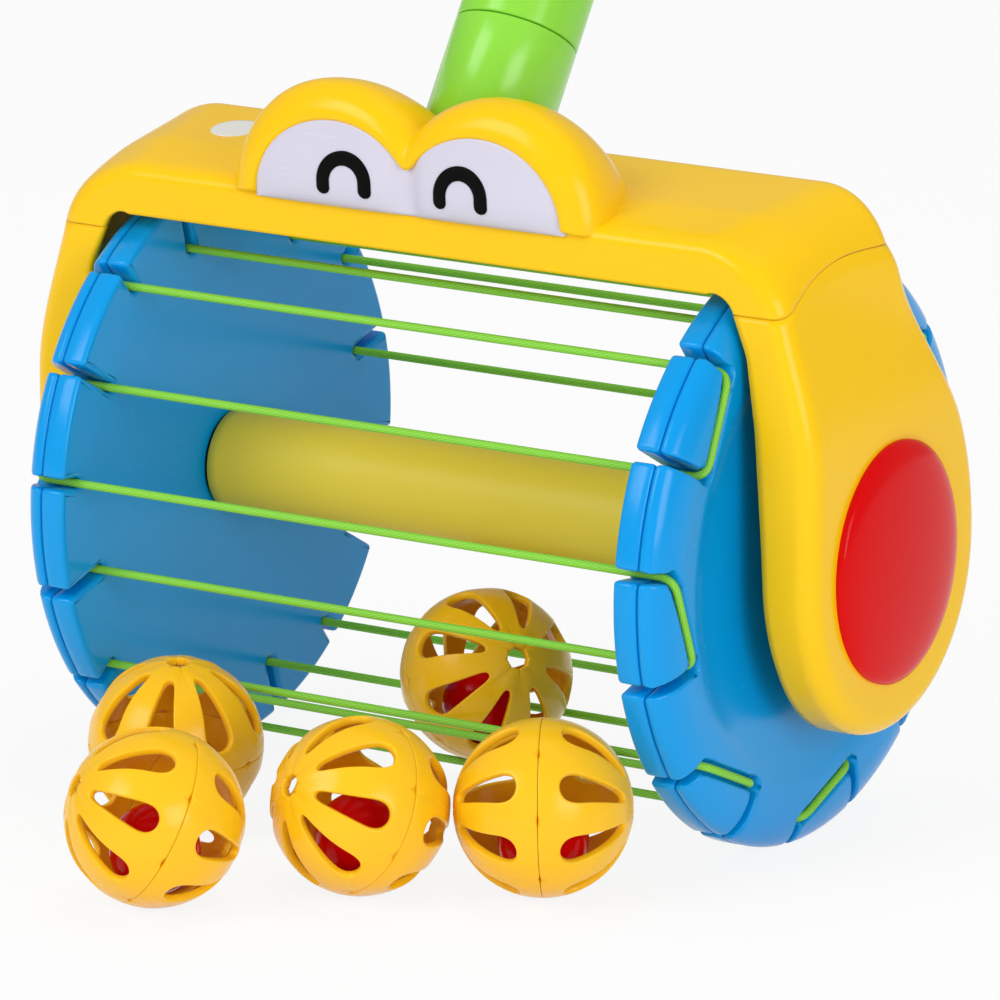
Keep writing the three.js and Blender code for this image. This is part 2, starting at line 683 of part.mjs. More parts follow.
function ball({ name, end, spin }, centre) {
  const group = new THREE.Group();
  group.name = name;
  group.position.copy(centre);
  const cage = new THREE.Group();
  cage.quaternion.setFromUnitVectors(Y_AXIS, new THREE.Vector3(...end).normalize());
  const halfA = piece(`${name}_shell_a`, HALF_GEOMETRY, BALL_YELLOW);
  halfA.rotation.y = spin;
  const halfB = piece(`${name}_shell_b`, HALF_GEOMETRY, BALL_YELLOW);
  halfB.rotation.set(Math.PI, -spin, 0, "XYZ");
  cage.add(halfA, halfB);
  const rattle = piece(`${name}_rattle`, new THREE.SphereGeometry(RATTLE_D / 2, 10, 5), RED);
  const room = (BALL_D / 2 - BALL_WALL) * Math.cos(Math.PI / (2 * BALL_SLOTS));
  rattle.position.z = RATTLE_D / 2 - room + 2 * FIT;
  group.add(cage, rattle);
  return group;
}

// Assembly
const toy = new THREE.Group();
toy.name = "ball_collecting_toy_vacuum";

const yoke = new THREE.Group();
yoke.name = "yoke";
const rightArm = geometryOf(arm());
const bushShape = geometryOf(bush());
const capShape = geometryOf(hubCap());
yoke.add(topShell(), brow(), eyePanel());
yoke.add(piece("right_arm", rightArm, YELLOW), mirrored(piece("left_arm", rightArm, YELLOW)));
yoke.add(piece("right_bush", bushShape, NYLON), mirrored(piece("left_bush", bushShape, NYLON)));
yoke.add(piece("right_hub_cap", capShape, RED), mirrored(piece("left_hub_cap", capShape, RED)));
yoke.add(poleLower(), poleUpper(), grip());

const drum = new THREE.Group();
drum.name = "drum";
const inner = geometryOf(wheelInner());
drum.add(piece("right_wheel_inner", inner, BLUE), mirrored(piece("left_wheel_inner", inner, BLUE)));
drum.add(piece("right_wheel_outer", wheelOuter(1), BLUE));
drum.add(mirrored(piece("left_wheel_outer", wheelOuter(0), BLUE)));
drum.add(axleTube(), axleRod(), elasticCord());

toy.add(yoke, drum);
for (const one of BALLS) {
  const height = FLOOR + BALL_D / 2;
  const reach = CORD_R_SHALLOW + CORD_D / 2 + (0.5 + one.gap) * BALL_D;
  const y = -Math.sqrt(reach ** 2 - height ** 2);
  toy.add(ball(one, new THREE.Vector3(one.across * BALL_D, y, height)));
}
const caughtR = cordRadius(CAUGHT.slot) - (BALL_D + CORD_D) / 2 - FIT;
toy.add(ball(CAUGHT, radial(slotAngle(CAUGHT.slot)).multiplyScalar(caughtR)));

// The origin is under the middle of the whole toy, on the floor.
const whole = new THREE.Group();
whole.add(toy);
const box = new THREE.Box3().setFromObject(whole, true);
toy.position.set(-(box.min.x + box.max.x) / 2, -(box.min.y + box.max.y) / 2, -box.min.z);

export default whole;
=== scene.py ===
"""Dressed model of the ball-collecting toy vacuum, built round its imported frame.

Shapes are worked out in millimetres from the middle of the axle (X along the axle, the face
towards -Y, Z up) and moved to the frame's own place, in metres, when a piece is made.
"""
import json
import math
import bmesh
import bpy
import numpy as np
from mathutils import Matrix, Vector


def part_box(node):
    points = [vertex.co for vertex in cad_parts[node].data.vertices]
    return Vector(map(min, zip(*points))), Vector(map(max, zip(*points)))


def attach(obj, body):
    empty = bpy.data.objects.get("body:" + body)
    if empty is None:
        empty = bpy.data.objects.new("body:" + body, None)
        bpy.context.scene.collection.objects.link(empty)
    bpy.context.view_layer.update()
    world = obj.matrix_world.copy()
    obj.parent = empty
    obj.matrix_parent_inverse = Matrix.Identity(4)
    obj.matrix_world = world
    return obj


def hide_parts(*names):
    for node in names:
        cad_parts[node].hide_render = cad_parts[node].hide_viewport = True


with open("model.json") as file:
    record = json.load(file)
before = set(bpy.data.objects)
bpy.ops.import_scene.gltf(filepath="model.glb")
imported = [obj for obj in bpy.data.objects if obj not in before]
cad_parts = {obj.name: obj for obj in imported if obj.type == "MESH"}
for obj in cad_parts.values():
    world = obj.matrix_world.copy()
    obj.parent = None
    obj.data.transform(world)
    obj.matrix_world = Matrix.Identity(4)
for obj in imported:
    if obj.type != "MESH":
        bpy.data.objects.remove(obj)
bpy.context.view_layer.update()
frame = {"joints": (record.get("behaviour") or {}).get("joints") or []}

MM = 0.001
JOINTS = {joint["name"]: joint for joint in frame["joints"]}
AXLE = np.array(JOINTS["drum_spin"]["pos_m"])

# Wheels and elastic
WHEEL_R = 82.3
WHEEL_IN = 88.9
PARTING = 96.3
WHEEL_OUT = 104.0
WHEEL_FACE = 102.7
SHOULDER_T = 6.5
SHOULDER_R = 12.0
PARTING_GAP = 0.3
PARTING_GROOVE = 0.9
PARTING_BEVEL = 0.6 * PARTING_GROOVE
WEB_R = 59.0
RING_IN = 60.0
DISH_R = 66.0
DISH_EASE = 10.0
HUB_BORE = 4.0
HUB_R = 10.2
HUB_START = 101.5
HUB_END = 111.3
SLOTS = 16
SLOT_HALF = 1.5
SLOT_CORNER = 1.3
SLOT_PHASE = math.radians(16.3)
LIP_SHARE, SIDE_SHARE, FLOOR_SHARE = 0.26, 0.2, 0.09
CORD_RADII = (0.81 * WHEEL_R, 0.91 * WHEEL_R)
CORD_R = 1.15
CORD_OUT = WHEEL_OUT - 0.6
CORD_BEND = 5.0
GROOVE_DEPTH = 2.2
GROOVE_DIVE = 3.0
GROOVE_LIP = 0.9

# Axle
TUBE_R = 14.6
TUBE_BORE = 12.4
ROD_R = 3.1
BUSH_BORE = 3.4
BUSH_R = 7.0
BUSH_IN = 111.6
BUSH_OUT = 124.6

# Yoke
ARM_OUT = 127.4
TOP_Z = 100.1
CORNER_R = 23.0
CORNER_X = ARM_OUT - CORNER_R
CORNER_Z = TOP_Z - CORNER_R
CREASE = 6.0
LEAN_FRONT, LEAN_FRONT_FOOT, LEAN_FRONT_TOP = 13.4, 28.0, 95.0
LEAN_BACK, LEAN_BACK_FOOT, LEAN_BACK_TOP = 6.5, 34.0, 72.0
HOUSE_FRONT = -43.0
HOUSE_BACK = 12.0
FRONT_EDGE_Z = 77.7
SEAM_FRONT_Z = 73.0
SEAM_BACK_Z = 84.8
SEAM_GAP = 0.25
SECTION_MID_Y = -22.0
SLOPE_DROP, SLOPE_RATE, SLOPE_CURVE = 0.2, 0.055, 0.00195
LOBE_R = 46.2
LOBE_DROP = 48.3
LOBE_RISE = 62.0
WALL = 2.5
LIP_WALL = 0.6
LIP_HALF = 3.0
CAP_R = 32.8
CAP_HEIGHT = 5.0
CAP_RIM = 0.6
CAP_OVAL = (1.0, 0.95, 1.02)

# Face
BROW_X = 25.2
BROW_HALF = 34.3
BROW_BASE = 86.5
BROW_H = 35.5
BROW_VALLEY = 22.5
BROW_FULLNESS = 2.25
BROW_FRONT = -46.4
BROW_ROLL = 9.0
BROW_BACK = -11.0
BROW_TUCK, BROW_TUCK_H = 5.0, 2.5
BROW_NARROW = 0.14
BROW_SINK = 2.5
EYE_X = 23.5
EYE_HALF = 26.5
EYE_BASE = 88.3
EYE_H = 24.3
EYE_VALLEY = 13.0
EYE_FRONT = -43.8
EYE_BULGE = 3.8
EYE_MIDDLE_Z = 8.0
EYE_EDGE = 1.0
EYE_SINK = 3.0
EYE_CREASE = 4.0
MARK_X = 18.8
MARK_Z = 7.6
MARK_R = 6.65
MARK_HALF = 2.0
MARK_LEG = 1.9
MARK_PROUD, MARK_DOME = 0.3, 0.2
PLATE_X = -80.4
PLATE_Y = -9.4
PLATE_R = 7.0

# Pole
POLE_R = 17.3
POLE_BORE = 15.1
POLE_EASE = 0.7
SPIGOT_R = 14.8
SPIGOT_BORE = 12.6
SPIGOT_START = 9.0
SPIGOT_FLANGE = 5.0
POLE_LEAN = math.radians(33.2)
POLE_FOOT = np.array([0.0, -7.4, 102.5])
POLE_START = -10.0
POLE_CUT_Z = 92.0
POLE_AXIS = np.array([0.0, math.sin(POLE_LEAN), math.cos(POLE_LEAN)])
POLE_SEAM = 31.5
POLE_LENGTH = 360.0
GRIP_R = 12.0
GRIP_HALF = 52.0
GRIP_CUP = 22.0
CUP_WALL = 2.2
CUP_EASE = 1.2
FINGER_WAVE, FINGER_PITCH, FINGER_START, FINGER_FADE = 0.35, 13.0, 18.0, 4.0
FIT = 0.3

# Balls
BALL_R = 24.15
BALL_WALL = 2.2
CAGE_SLOTS = 8
CAGE_SLOT_LAT = math.radians(41.5)
CAGE_WIDE, CAGE_WIDE_LOW = 0.17, -0.29
CAGE_NARROW, CAGE_NARROW_HIGH = 0.06, 0.375
CAGE_SPAN = (3.6, 9.0)
CAGE_GAP = 0.03
POLE_HOLE_R = 3.0
CORE_R = 12.3
CORE_PLAY = 1.04

# Light, in metres and watts
PURE_WHITE = (1.0, 1.0, 1.0, 1.0)
WORLD_STRENGTH = 0.42
FLOOR_GLOW = 0.88
LAMP_AIM = (0.0, -0.05, 0.1)

# Camera that took the photograph, from the middle of the axle
CAMERA_MM = np.array([1218.3, -1890.2, 563.4])
CAMERA_AZ = math.radians(32.78)
CAMERA_EL = math.radians(14.07)
FOCAL_PX = 8368.0
FRAME_PX = 1000.0
SENSOR_MM = 36.0
TOWARDS_CAMERA = np.array([
    math.sin(CAMERA_AZ) * math.cos(CAMERA_EL),
    -math.cos(CAMERA_AZ) * math.cos(CAMERA_EL),
    math.sin(CAMERA_EL),
])


# Shader sheets

class Value:
    """A shader socket that takes part in Python expressions; each operator adds a Math node."""

    def __init__(self, sheet, socket):
        self.sheet = sheet
        self.socket = socket

    def _math(self, operation, *values):
        return self.sheet.node("ShaderNodeMath", {"operation": operation}, dict(enumerate(values)))

    def __add__(self, other):
        return self._math("ADD", self, other)

    def __sub__(self, other):
        return self._math("SUBTRACT", self, other)

    def __rsub__(self, other):
        return self._math("SUBTRACT", other, self)

    def __mul__(self, other):
        return self._math("MULTIPLY", self, other)

    __radd__ = __add__
    __rmul__ = __mul__


class Sheet:
    """The node tree of one material, or of the world."""

    def __init__(self, name, world=None):
        self.material = world or bpy.data.materials.new(name)
        self.material.use_nodes = True
        self.tree = self.material.node_tree
        self.shader = self.tree.nodes["Background" if world else "Principled BSDF"]

    def node(self, kind, settings=None, inputs=None, output=0):
        """Adds a node, sets its settings first, then fills or links its sockets."""
        made = self.tree.nodes.new(kind)
        for key, value in (settings or {}).items():
            setattr(made, key, value)
        for key, value in (inputs or {}).items():
            self.fill(made.inputs[key], value)
        return Value(self, made.outputs[output])

    def fill(self, socket, value):
        """Links a shader value to a socket, or sets a constant on it."""
        if isinstance(value, Value):
            self.tree.links.new(value.socket, socket)
        else:
            socket.default_value = value

    def surface(self, **inputs):
        """Fills the main shader's sockets, with underscores for the spaces in their names."""
        for key, value in inputs.items():
            self.fill(self.shader.inputs[key.replace("_", " ")], value)
        return self.material


def linear(red, green, blue):
    """A colour written in the 0 to 255 values of a screen, as linear light with full alpha."""
    screen = np.array([red, green, blue]) / 255.0
    low = screen / 12.92
    high = ((screen + 0.055) / 1.055) ** 2.4
    return (*np.where(screen <= 0.04045, low, high).tolist(), 1.0)


def moulded(name, colour, shade, roughness, shine, peel=0.1):
    """Injection-moulded plastic: a slow drift between two close colours, a roughness that varies
    in soft patches with a few hairline rubs, and a faint orange-peel bump."""
    sheet = Sheet(name)
    place = sheet.node("ShaderNodeTexCoord", output="Object")
    drift = sheet.node("ShaderNodeTexNoise", {}, {"Vector": place, "Scale": 14.0, "Detail": 2.0})
    patch = sheet.node("ShaderNodeTexNoise", {}, {"Vector": place, "Scale": 55.0, "Detail": 4.0})
    stretch = sheet.node("ShaderNodeMapping", {}, {"Vector": place, "Rotation": (0.3, 0.5, 0.4),
                                                   "Scale": (40.0, 900.0, 700.0)})
    rub = sheet.node("ShaderNodeTexNoise", {}, {"Vector": stretch, "Scale": 1.0, "Detail": 3.0})
    rubs = sheet.node("ShaderNodeMapRange", {}, {0: rub, 1: 0.62, 2: 0.78, 3: 0.0, 4: 1.0})
    tint = sheet.node("ShaderNodeMix", {"data_type": "RGBA"},
                      {0: drift, 6: shade, 7: colour}, output=2)
    grain = sheet.node("ShaderNodeTexNoise", {}, {"Vector": place, "Scale": 700.0, "Detail": 2.0})
    bump = sheet.node("ShaderNodeBump", {}, {"Strength": peel, "Distance": 0.0002, "Height": grain})
    gloss = roughness - 0.05 + 0.1 * patch + 0.12 * rubs
    return sheet.surface(Base_Color=tint, Roughness=gloss, Normal=bump, Specular_IOR_Level=shine)


def braided(name, colour, shade):
    """Covered elastic: two sets of helical threads crossing round the cord, read from the tube's
    UV map, which runs in thread widths along the cord and once round it."""
    sheet = Sheet(name)
    uv = sheet.node("ShaderNodeUVMap", {"uv_map": "cord"})
    along = sheet.node("ShaderNodeSeparateXYZ", {}, {0: uv}, output=0)
    around = sheet.node("ShaderNodeSeparateXYZ", {}, {0: uv}, output=1)
    turn = 2.0 * math.pi
    left = sheet.node("ShaderNodeMath", {"operation": "SINE"}, {0: turn * (along + 8.0 * around)})
    right = sheet.node("ShaderNodeMath", {"operation": "SINE"}, {0: turn * (along - 8.0 * around)})
    weave = 0.5 + 0.25 * left + 0.25 * right
    tint = sheet.node("ShaderNodeMix", {"data_type": "RGBA"},
                      {0: weave, 6: shade, 7: colour}, output=2)
    bump = sheet.node("ShaderNodeBump", {}, {"Strength": 0.35, "Distance": 0.0002, "Height": weave})
    return sheet.surface(Base_Color=tint, Roughness=0.62 - 0.1 * weave, Normal=bump)


def drawn_steel(name, colour):
    """Drawn steel: fine lines along the rod that change its roughness."""
    sheet = Sheet(name)
    place = sheet.node("ShaderNodeTexCoord", output="Object")
    lines = sheet.node("ShaderNodeMapping", {}, {"Vector": place, "Scale": (8.0, 1500.0, 1500.0)})
    streak = sheet.node("ShaderNodeTexNoise", {}, {"Vector": lines, "Scale": 1.0, "Detail": 2.0})
    return sheet.surface(Base_Color=colour, Metallic=1.0, Roughness=0.25 + 0.25 * streak)


YELLOW = moulded("housing_yellow", linear(255, 206, 12), linear(252, 198, 8), 0.22, 0.24)
CAGE_YELLOW = moulded("cage_yellow", linear(255, 201, 30), linear(254, 192, 20), 0.24, 0.3)
BLUE = moulded("wheel_blue", linear(0, 160, 236), linear(0, 150, 226), 0.2, 0.27, 0.05)
RED = moulded("cap_red", linear(226, 6, 8), linear(214, 3, 6), 0.16, 0.12, 0.05)
WHITE = moulded("eye_white", linear(215, 212, 228), linear(209, 206, 224), 0.22, 0.4)
GREEN = moulded("pole_green", linear(146, 226, 70), linear(138, 218, 60), 0.22, 0.45)
TUBE = moulded("tube_yellow", linear(238, 216, 70), linear(230, 206, 62), 0.42, 0.3)
NYLON = moulded("bush_nylon", linear(238, 236, 228), linear(226, 224, 214), 0.4, 0.4)
BLACK = moulded("mark_black", linear(2, 2, 2), linear(6, 5, 5), 0.5, 0.08)
PLATE = moulded("plate_white", linear(240, 238, 234), linear(230, 228, 224), 0.35, 0.4)
ELASTIC = braided("elastic_green", linear(150, 226, 72), linear(118, 196, 48))
STEEL = drawn_steel("rod_steel", linear(196, 200, 206))


# Meshes from grids

def quads(rows, columns, wrap_rows=False, wrap_columns=False):
    """Corner numbers of the quads of a grid of points, closed along either way if asked."""
    i = np.arange(rows if wrap_rows else rows - 1)
    j = np.arange(columns if wrap_columns else columns - 1)
    i, j = np.meshgrid(i, j, indexing="ij")
    below = ((i + 1) % rows) * columns
    beside = (j + 1) % columns
    corners = [i * columns + j, below + j, below + beside, i * columns + beside]
    return np.stack(corners, -1).reshape(-1, 4)


def piece(name, surfaces, body, material, replaces=(), thickness=0.0, smooth_levels=0,
          uv=None, flat_sides=False):
    """Makes one object from grids of points in millimetres. Each surface is (points, wrap_rows,
    wrap_columns); shared edges are merged, faces turned outwards, and a wall or a smoothing added.
    Flat sides are faces square to the axle that keep a plain flat shading."""
    points = []
    faces = []
    count = 0
    for grid, wrap_rows, wrap_columns in surfaces:
        rows, columns = grid.shape[:2]
        points.append(grid.reshape(-1, 3))
        faces.append(quads(rows, columns, wrap_rows, wrap_columns) + count)
        count += rows * columns
    places = np.concatenate(points) * MM + AXLE
    mesh = bpy.data.meshes.new(name)
    mesh.from_pydata(places.tolist(), [], np.concatenate(faces).tolist())
    if uv is not None:
        layer = mesh.uv_layers.new(name="cord")
        corners = np.empty(len(mesh.loops), dtype=np.int32)
        mesh.loops.foreach_get("vertex_index", corners)
        layer.data.foreach_set("uv", uv.reshape(-1, 2)[corners].ravel())
    shape = bmesh.new()
    shape.from_mesh(mesh)
    bmesh.ops.remove_doubles(shape, verts=shape.verts, dist=2e-6)
    bmesh.ops.recalc_face_normals(shape, faces=shape.faces)
    shape.to_mesh(mesh)
    shape.free()
    normals = np.empty(3 * len(mesh.polygons))
    mesh.polygons.foreach_get("normal", normals)
    square = 0.9999 if flat_sides else 2.0
    mesh.polygons.foreach_set("use_smooth", np.abs(normals[::3]) < square)
    made = bpy.data.objects.new(name, mesh)
    bpy.context.scene.collection.objects.link(made)
    mesh.materials.append(material)
    if thickness:
        wall = made.modifiers.new("wall", "SOLIDIFY")
        wall.thickness = thickness * MM
        wall.offset = -1.0
        wall.use_even_offset = True
    if smooth_levels:
        soft = made.modifiers.new("soft", "SUBSURF")
        soft.levels = smooth_levels
        soft.render_levels = smooth_levels
    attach(made, body)
    if replaces:
        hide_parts(*replaces)
    return made


def revolved(profile, facets):
    """A profile of (radius, x) points turned about the axle: y = -r sin a, z = r cos a."""
    radius, x = np.array(profile, dtype=float).T
    angle = np.linspace(0.0, 2.0 * np.pi, facets, endpoint=False)
    r, a = np.meshgrid(radius, angle, indexing="ij")
    return np.stack([np.broadcast_to(x[:, None], r.shape), -r * np.sin(a), r * np.cos(a)], -1)


def on_pole(profile, facets):
    """A profile of (radius, distance) points turned about the pole's leaning axis."""
    radius, distance = np.array(profile, dtype=float).T
    angle = np.linspace(0.0, 2.0 * np.pi, facets, endpoint=False)
    side = np.array([1.0, 0.0, 0.0])
    other = np.cross(side, POLE_AXIS)
    around = np.cos(angle)[:, None] * side + np.sin(angle)[:, None] * other
    return POLE_FOOT + distance[:, None, None] * POLE_AXIS + radius[:, None, None] * around


def rounded(points, radius, steps=6):
    """A polyline whose inner corners are eased: each is swapped for a quadratic curve that starts
    and ends at most a radius away from it along its two sides."""
    points = np.array(points, dtype=float)
    out = [points[:1]]
    t = np.linspace(0.0, 1.0, steps)[:, None]
    for before, corner, after in zip(points, points[1:], points[2:]):
        back = before - corner
        ahead = after - corner
        start = corner + back * min(0.45, radius / np.linalg.norm(back))
        end = corner + ahead * min(0.45, radius / np.linalg.norm(ahead))
        out.append((1 - t) ** 2 * start + 2 * t * (1 - t) * corner + t ** 2 * end)
    out.append(points[-1:])
    return np.concatenate(out)


def unit(vectors):
    """Directions of vectors, each of length one."""
    return vectors / np.linalg.norm(vectors, axis=-1, keepdims=True)


def run(points):
    """Distance along a polyline at each of its points."""
    steps = np.linalg.norm(np.diff(points, axis=0), axis=1)
    return np.concatenate([[0.0], np.cumsum(steps)])


def ring(bore, radius, start, end, ease):
    """Profile of a plain ring as (radius, x) points, its outer corners eased."""
    return rounded([(bore, start), (radius, start), (radius, end), (bore, end)], ease)


def spread(points, count):
    """Points spaced evenly along a polyline."""
    reach = run(points)
    wanted = np.linspace(0.0, reach[-1], count)
    return np.stack([np.interp(wanted, reach, column) for column in points.T], -1)


def capped(grid):
    """A grid with each end closed by one more column, gathered at the end column's middle."""
    first, last = (np.broadcast_to(grid[:, k].mean(0), grid[:, k].shape)[:, None] for k in (0, -1))
    return np.concatenate([first, grid, last], axis=1)


def smoothstep(x):
    """A smooth rise from 0 to 1 as x goes from 0 to 1."""
    x = np.clip(x, 0.0, 1.0)
    return x * x * (3.0 - 2.0 * x)


# Wheels

def slot_angle(k):
    """Angle of a slot from the top towards the front."""
    return SLOT_PHASE + 2.0 * math.pi * k / SLOTS


def radial(angle):
    """The direction from the axle at an angle from the top towards the front, as (y, z)."""
    return np.stack([-np.sin(angle), np.cos(angle)], -1)


def wheel_outline():
    """The notched rim as one closed path of (y, z) points, with the way into the wheel at each and
    the angle on a plain circle that it is joined to. Every slot has eased lips, parallel sides and
    a round floor, and the teeth between them follow the rim's circle."""
    lip = SLOT_HALF + SLOT_CORNER
    lip_r = math.sqrt((WHEEL_R - SLOT_CORNER) ** 2 - lip ** 2)
    lip_angle = math.asin(lip / (WHEEL_R - SLOT_CORNER))
    pitch = 2.0 * math.pi / SLOTS
    path = []
    circle = []
    for k in range(SLOTS):
        floor_r = CORD_RADII[k % 2]
        a = np.linspace(math.pi / 2 + lip_angle, 0.0, 6)
        left_lip = np.stack([-lip + SLOT_CORNER * np.cos(a), lip_r + SLOT_CORNER * np.sin(a)], -1)
        depth = np.linspace(lip_r, floor_r, 8)[1:]
        left_side = np.stack([np.full_like(depth, -SLOT_HALF), depth], -1)
        b = np.linspace(math.pi, 2.0 * math.pi, 10)[1:-1]
        slot_floor = np.stack([SLOT_HALF * np.cos(b), floor_r + SLOT_HALF * np.sin(b)], -1)
        half = np.concatenate([left_lip, left_side])
        local = np.concatenate([half, slot_floor, (half * [-1.0, 1.0])[::-1]])
        angle = slot_angle(k)
        out = radial(angle)
        across = radial(angle + math.pi / 2)
        path.append(local[:, 1:] * out + local[:, :1] * across)
        share = np.concatenate([
            np.linspace(-LIP_SHARE, -SIDE_SHARE, len(left_lip)),
            np.linspace(-SIDE_SHARE, -FLOOR_SHARE, len(left_side) + 1)[1:],
        ])
        middle = np.linspace(-FLOOR_SHARE, FLOOR_SHARE, len(slot_floor) + 2)[1:-1]
        circle.append(angle + pitch * np.concatenate([share, middle, -share[::-1]]))
        tooth = np.linspace(angle + lip_angle, angle + pitch - lip_angle, 30)[1:-1]
        path.append(WHEEL_R * radial(tooth))
        circle.append(angle + pitch * np.linspace(LIP_SHARE, 1.0 - LIP_SHARE, 30)[1:-1])
    path = np.concatenate(path)
    ahead = np.roll(path, -1, axis=0) - np.roll(path, 1, axis=0)
    inward = unit(np.stack([-ahead[:, 1], ahead[:, 0]], -1))
    if np.sum(inward * path) > 0:
        inward = -inward
    return path, inward, np.concatenate(circle)


RIM, RIM_IN, RIM_ANGLE = wheel_outline()


def at_x(flat, x):
    """(y, z) points given their place along the axle."""
    along = np.broadcast_to(np.asarray(x)[..., None], flat.shape[:-1] + (1,))
    return np.concatenate([along, flat], -1)


def wheel_inner(side):
    """Inner wheel half: plain circles on the flat inner face, eased into the notched outline, a
    rounded edge, the rim band, and the bevel at the parting line."""
    circle = radial(RIM_ANGLE)
    hub = TUBE_R - 1.0
    edge = 1.6
    rows = [at_x(radius * circle, WHEEL_IN) for radius in (hub, 35.0, WEB_R)]
    inset = RIM + edge * RIM_IN
    for t in (0.35, 0.7):
        rows.append(at_x((1 - t) * WEB_R * circle + t * inset, WHEEL_IN))
    for a in np.linspace(0.0, math.pi / 2, 5):
        flat = RIM + edge * (1 - math.sin(a)) * RIM_IN
        rows.append(at_x(flat, WHEEL_IN + edge * (1 - math.cos(a))))
    rows.append(at_x(RIM, PARTING - 3.0))
    rows.append(at_x(RIM, PARTING - PARTING_GROOVE))
    rows.append(at_x(RIM + PARTING_BEVEL * RIM_IN, PARTING))
    rows.append(at_x(WEB_R * circle, PARTING))
    rows.append(at_x(hub * circle, PARTING))
    return np.stack(rows) * [side, 1.0, 1.0]


def face_x(radius):
    """How far out the wheel's outer face lies at a radius: an elliptical shoulder from the rim, and
    a shallow dish inside the ring of teeth."""
    over = np.clip((radius - (WHEEL_R - SHOULDER_R)) / SHOULDER_R, 0.0, 1.0)
    shoulder = SHOULDER_T * (1.0 - np.sqrt(1.0 - over ** 2))
    dish = (WHEEL_OUT - WHEEL_FACE) * smoothstep((DISH_R - radius) / DISH_EASE)
    return WHEEL_OUT - shoulder - dish


def groove(flat, first_tooth):
    """Depth of the straight grooves that carry the elastic over every second tooth: full depth
    within the cord's width of the line between two slot floors, eased at its lips, and deeper
    near the slots by the drop of the cord's own bend."""
    k = np.arange(first_tooth, SLOTS, 2)
    radii = np.array(CORD_RADII)
    start = radii[k % 2][:, None] * radial(slot_angle(k))
    end = radii[(k + 1) % 2][:, None] * radial(slot_angle(k + 1))
    way = end - start
    length = np.linalg.norm(way, axis=1)
    way = way / length[:, None]
    from_start = flat[..., None, :] - start
    along = np.sum(from_start * way, -1)
    off = np.abs(from_start[..., 0] * way[:, 1] - from_start[..., 1] * way[:, 0])
    overrun = np.maximum(np.maximum(-along, along - length), 0.0)
    distance = np.sqrt(off ** 2 + overrun ** 2)
    inside = smoothstep((SLOT_HALF + GROOVE_LIP - distance) / GROOVE_LIP)
    near = np.clip(np.minimum(along, length - along), 0.0, CORD_BEND) / CORD_BEND
    dive = CORD_BEND * (1.0 - np.sqrt(near)) ** 2
    return ((GROOVE_DEPTH + np.minimum(dive, GROOVE_DIVE)) * inside).max(-1)


def wheel_outer(side, first_tooth):
    """Outer wheel half: the parting bevel, the rim band up to the shoulder, a rounded edge along
    the notched outline, then rows that run in over the toothed ring to the dished face and hub."""
    circle = radial(RIM_ANGLE)
    joint = PARTING + PARTING_GAP
    edge = 0.9
    hub = HUB_R + 0.1
    rows = [at_x(hub * circle, joint), at_x(RING_IN * circle, joint)]
    rows.append(at_x(RIM + PARTING_BEVEL * RIM_IN, joint))
    base = joint + PARTING_GROOVE
    rim_r = np.linalg.norm(RIM, axis=1)
    soften = edge * np.clip((WHEEL_R - rim_r) / 2.0, 0.0, 1.0)
    top = np.maximum(face_x(rim_r) - soften, base)
    top = np.maximum(top - groove(RIM, first_tooth), base)
    for t in (0.0, 0.5, 1.0):
        rows.append(at_x(RIM, base + t * (top - base)))
    for a in np.linspace(0.0, math.pi / 2, 5)[1:]:
        flat = RIM + edge * (1 - math.cos(a)) * RIM_IN
        lift = soften * (math.sin(a) - 1.0)
        depth = groove(flat, first_tooth)
        high = face_x(np.linalg.norm(flat, axis=1)) + lift - depth
        rows.append(at_x(flat, np.maximum(high, base)))
    start = RIM + edge * RIM_IN
    for t in np.linspace(0.0, 1.0, 46)[1:]:
        flat = (1 - t) * start + t * RING_IN * circle
        rows.append(at_x(flat, face_x(np.linalg.norm(flat, axis=1)) - groove(flat, first_tooth)))
    for radius in (56.0, 50.0, 35.0, 20.0, hub + 1.5, hub):
        rows.append(at_x(radius * circle, face_x(radius)))
    return np.stack(rows) * [side, 1.0, 1.0]


for side, word, tooth in ((1.0, "right", 1), (-1.0, "left", 0)):
    piece(f"{word}_wheel_inner_half", [(wheel_inner(side), True, True)], "drum",
          BLUE, (f"{word}_wheel_inner",), flat_sides=True)
    piece(f"{word}_wheel_outer_half", [(wheel_outer(side, tooth), True, True)], "drum",
          BLUE, (f"{word}_wheel_outer",))
    hub = revolved(ring(HUB_BORE, HUB_R, HUB_START, HUB_END, 0.8), 48)
    piece(f"{word}_wheel_hub", [(hub * [side, 1, 1], True, True)], "drum", BLUE)


# Elastic

def cord_route():
    """The closed route of the elastic: along each slot from wheel to wheel, with a round bend at
    each end and a straight stretch over the tooth to the next slot."""
    corners = []
    for k in range(SLOTS):
        entry = 1.0 if k % 2 == 0 else -1.0
        flat = CORD_RADII[k % 2] * radial(slot_angle(k))
        corners.append([entry * CORD_OUT, *flat])
        corners.append([-entry * CORD_OUT, *flat])
    corners = np.array(corners)
    back = unit(np.roll(corners, 1, axis=0) - corners)
    ahead = np.roll(corners, -1, axis=0) - corners
    reach = np.linalg.norm(ahead, axis=1, keepdims=True)
    ahead = ahead / reach
    t = np.linspace(0.0, 1.0, 13)[None, :, None]
    corner = corners[:, None, :]
    start = corner + CORD_BEND * back[:, None, :]
    end = corner + CORD_BEND * ahead[:, None, :]
    curve = (1 - t) ** 2 * start + 2 * t * (1 - t) * corner + t ** 2 * end
    free = (reach - 2 * CORD_BEND)[:, None, :]
    s = np.linspace(0.0, 1.0, 16)[None, 1:-1, None]
    straight = end + s * free * ahead[:, None, :]
    return np.concatenate([curve, straight], axis=1).reshape(-1, 3)


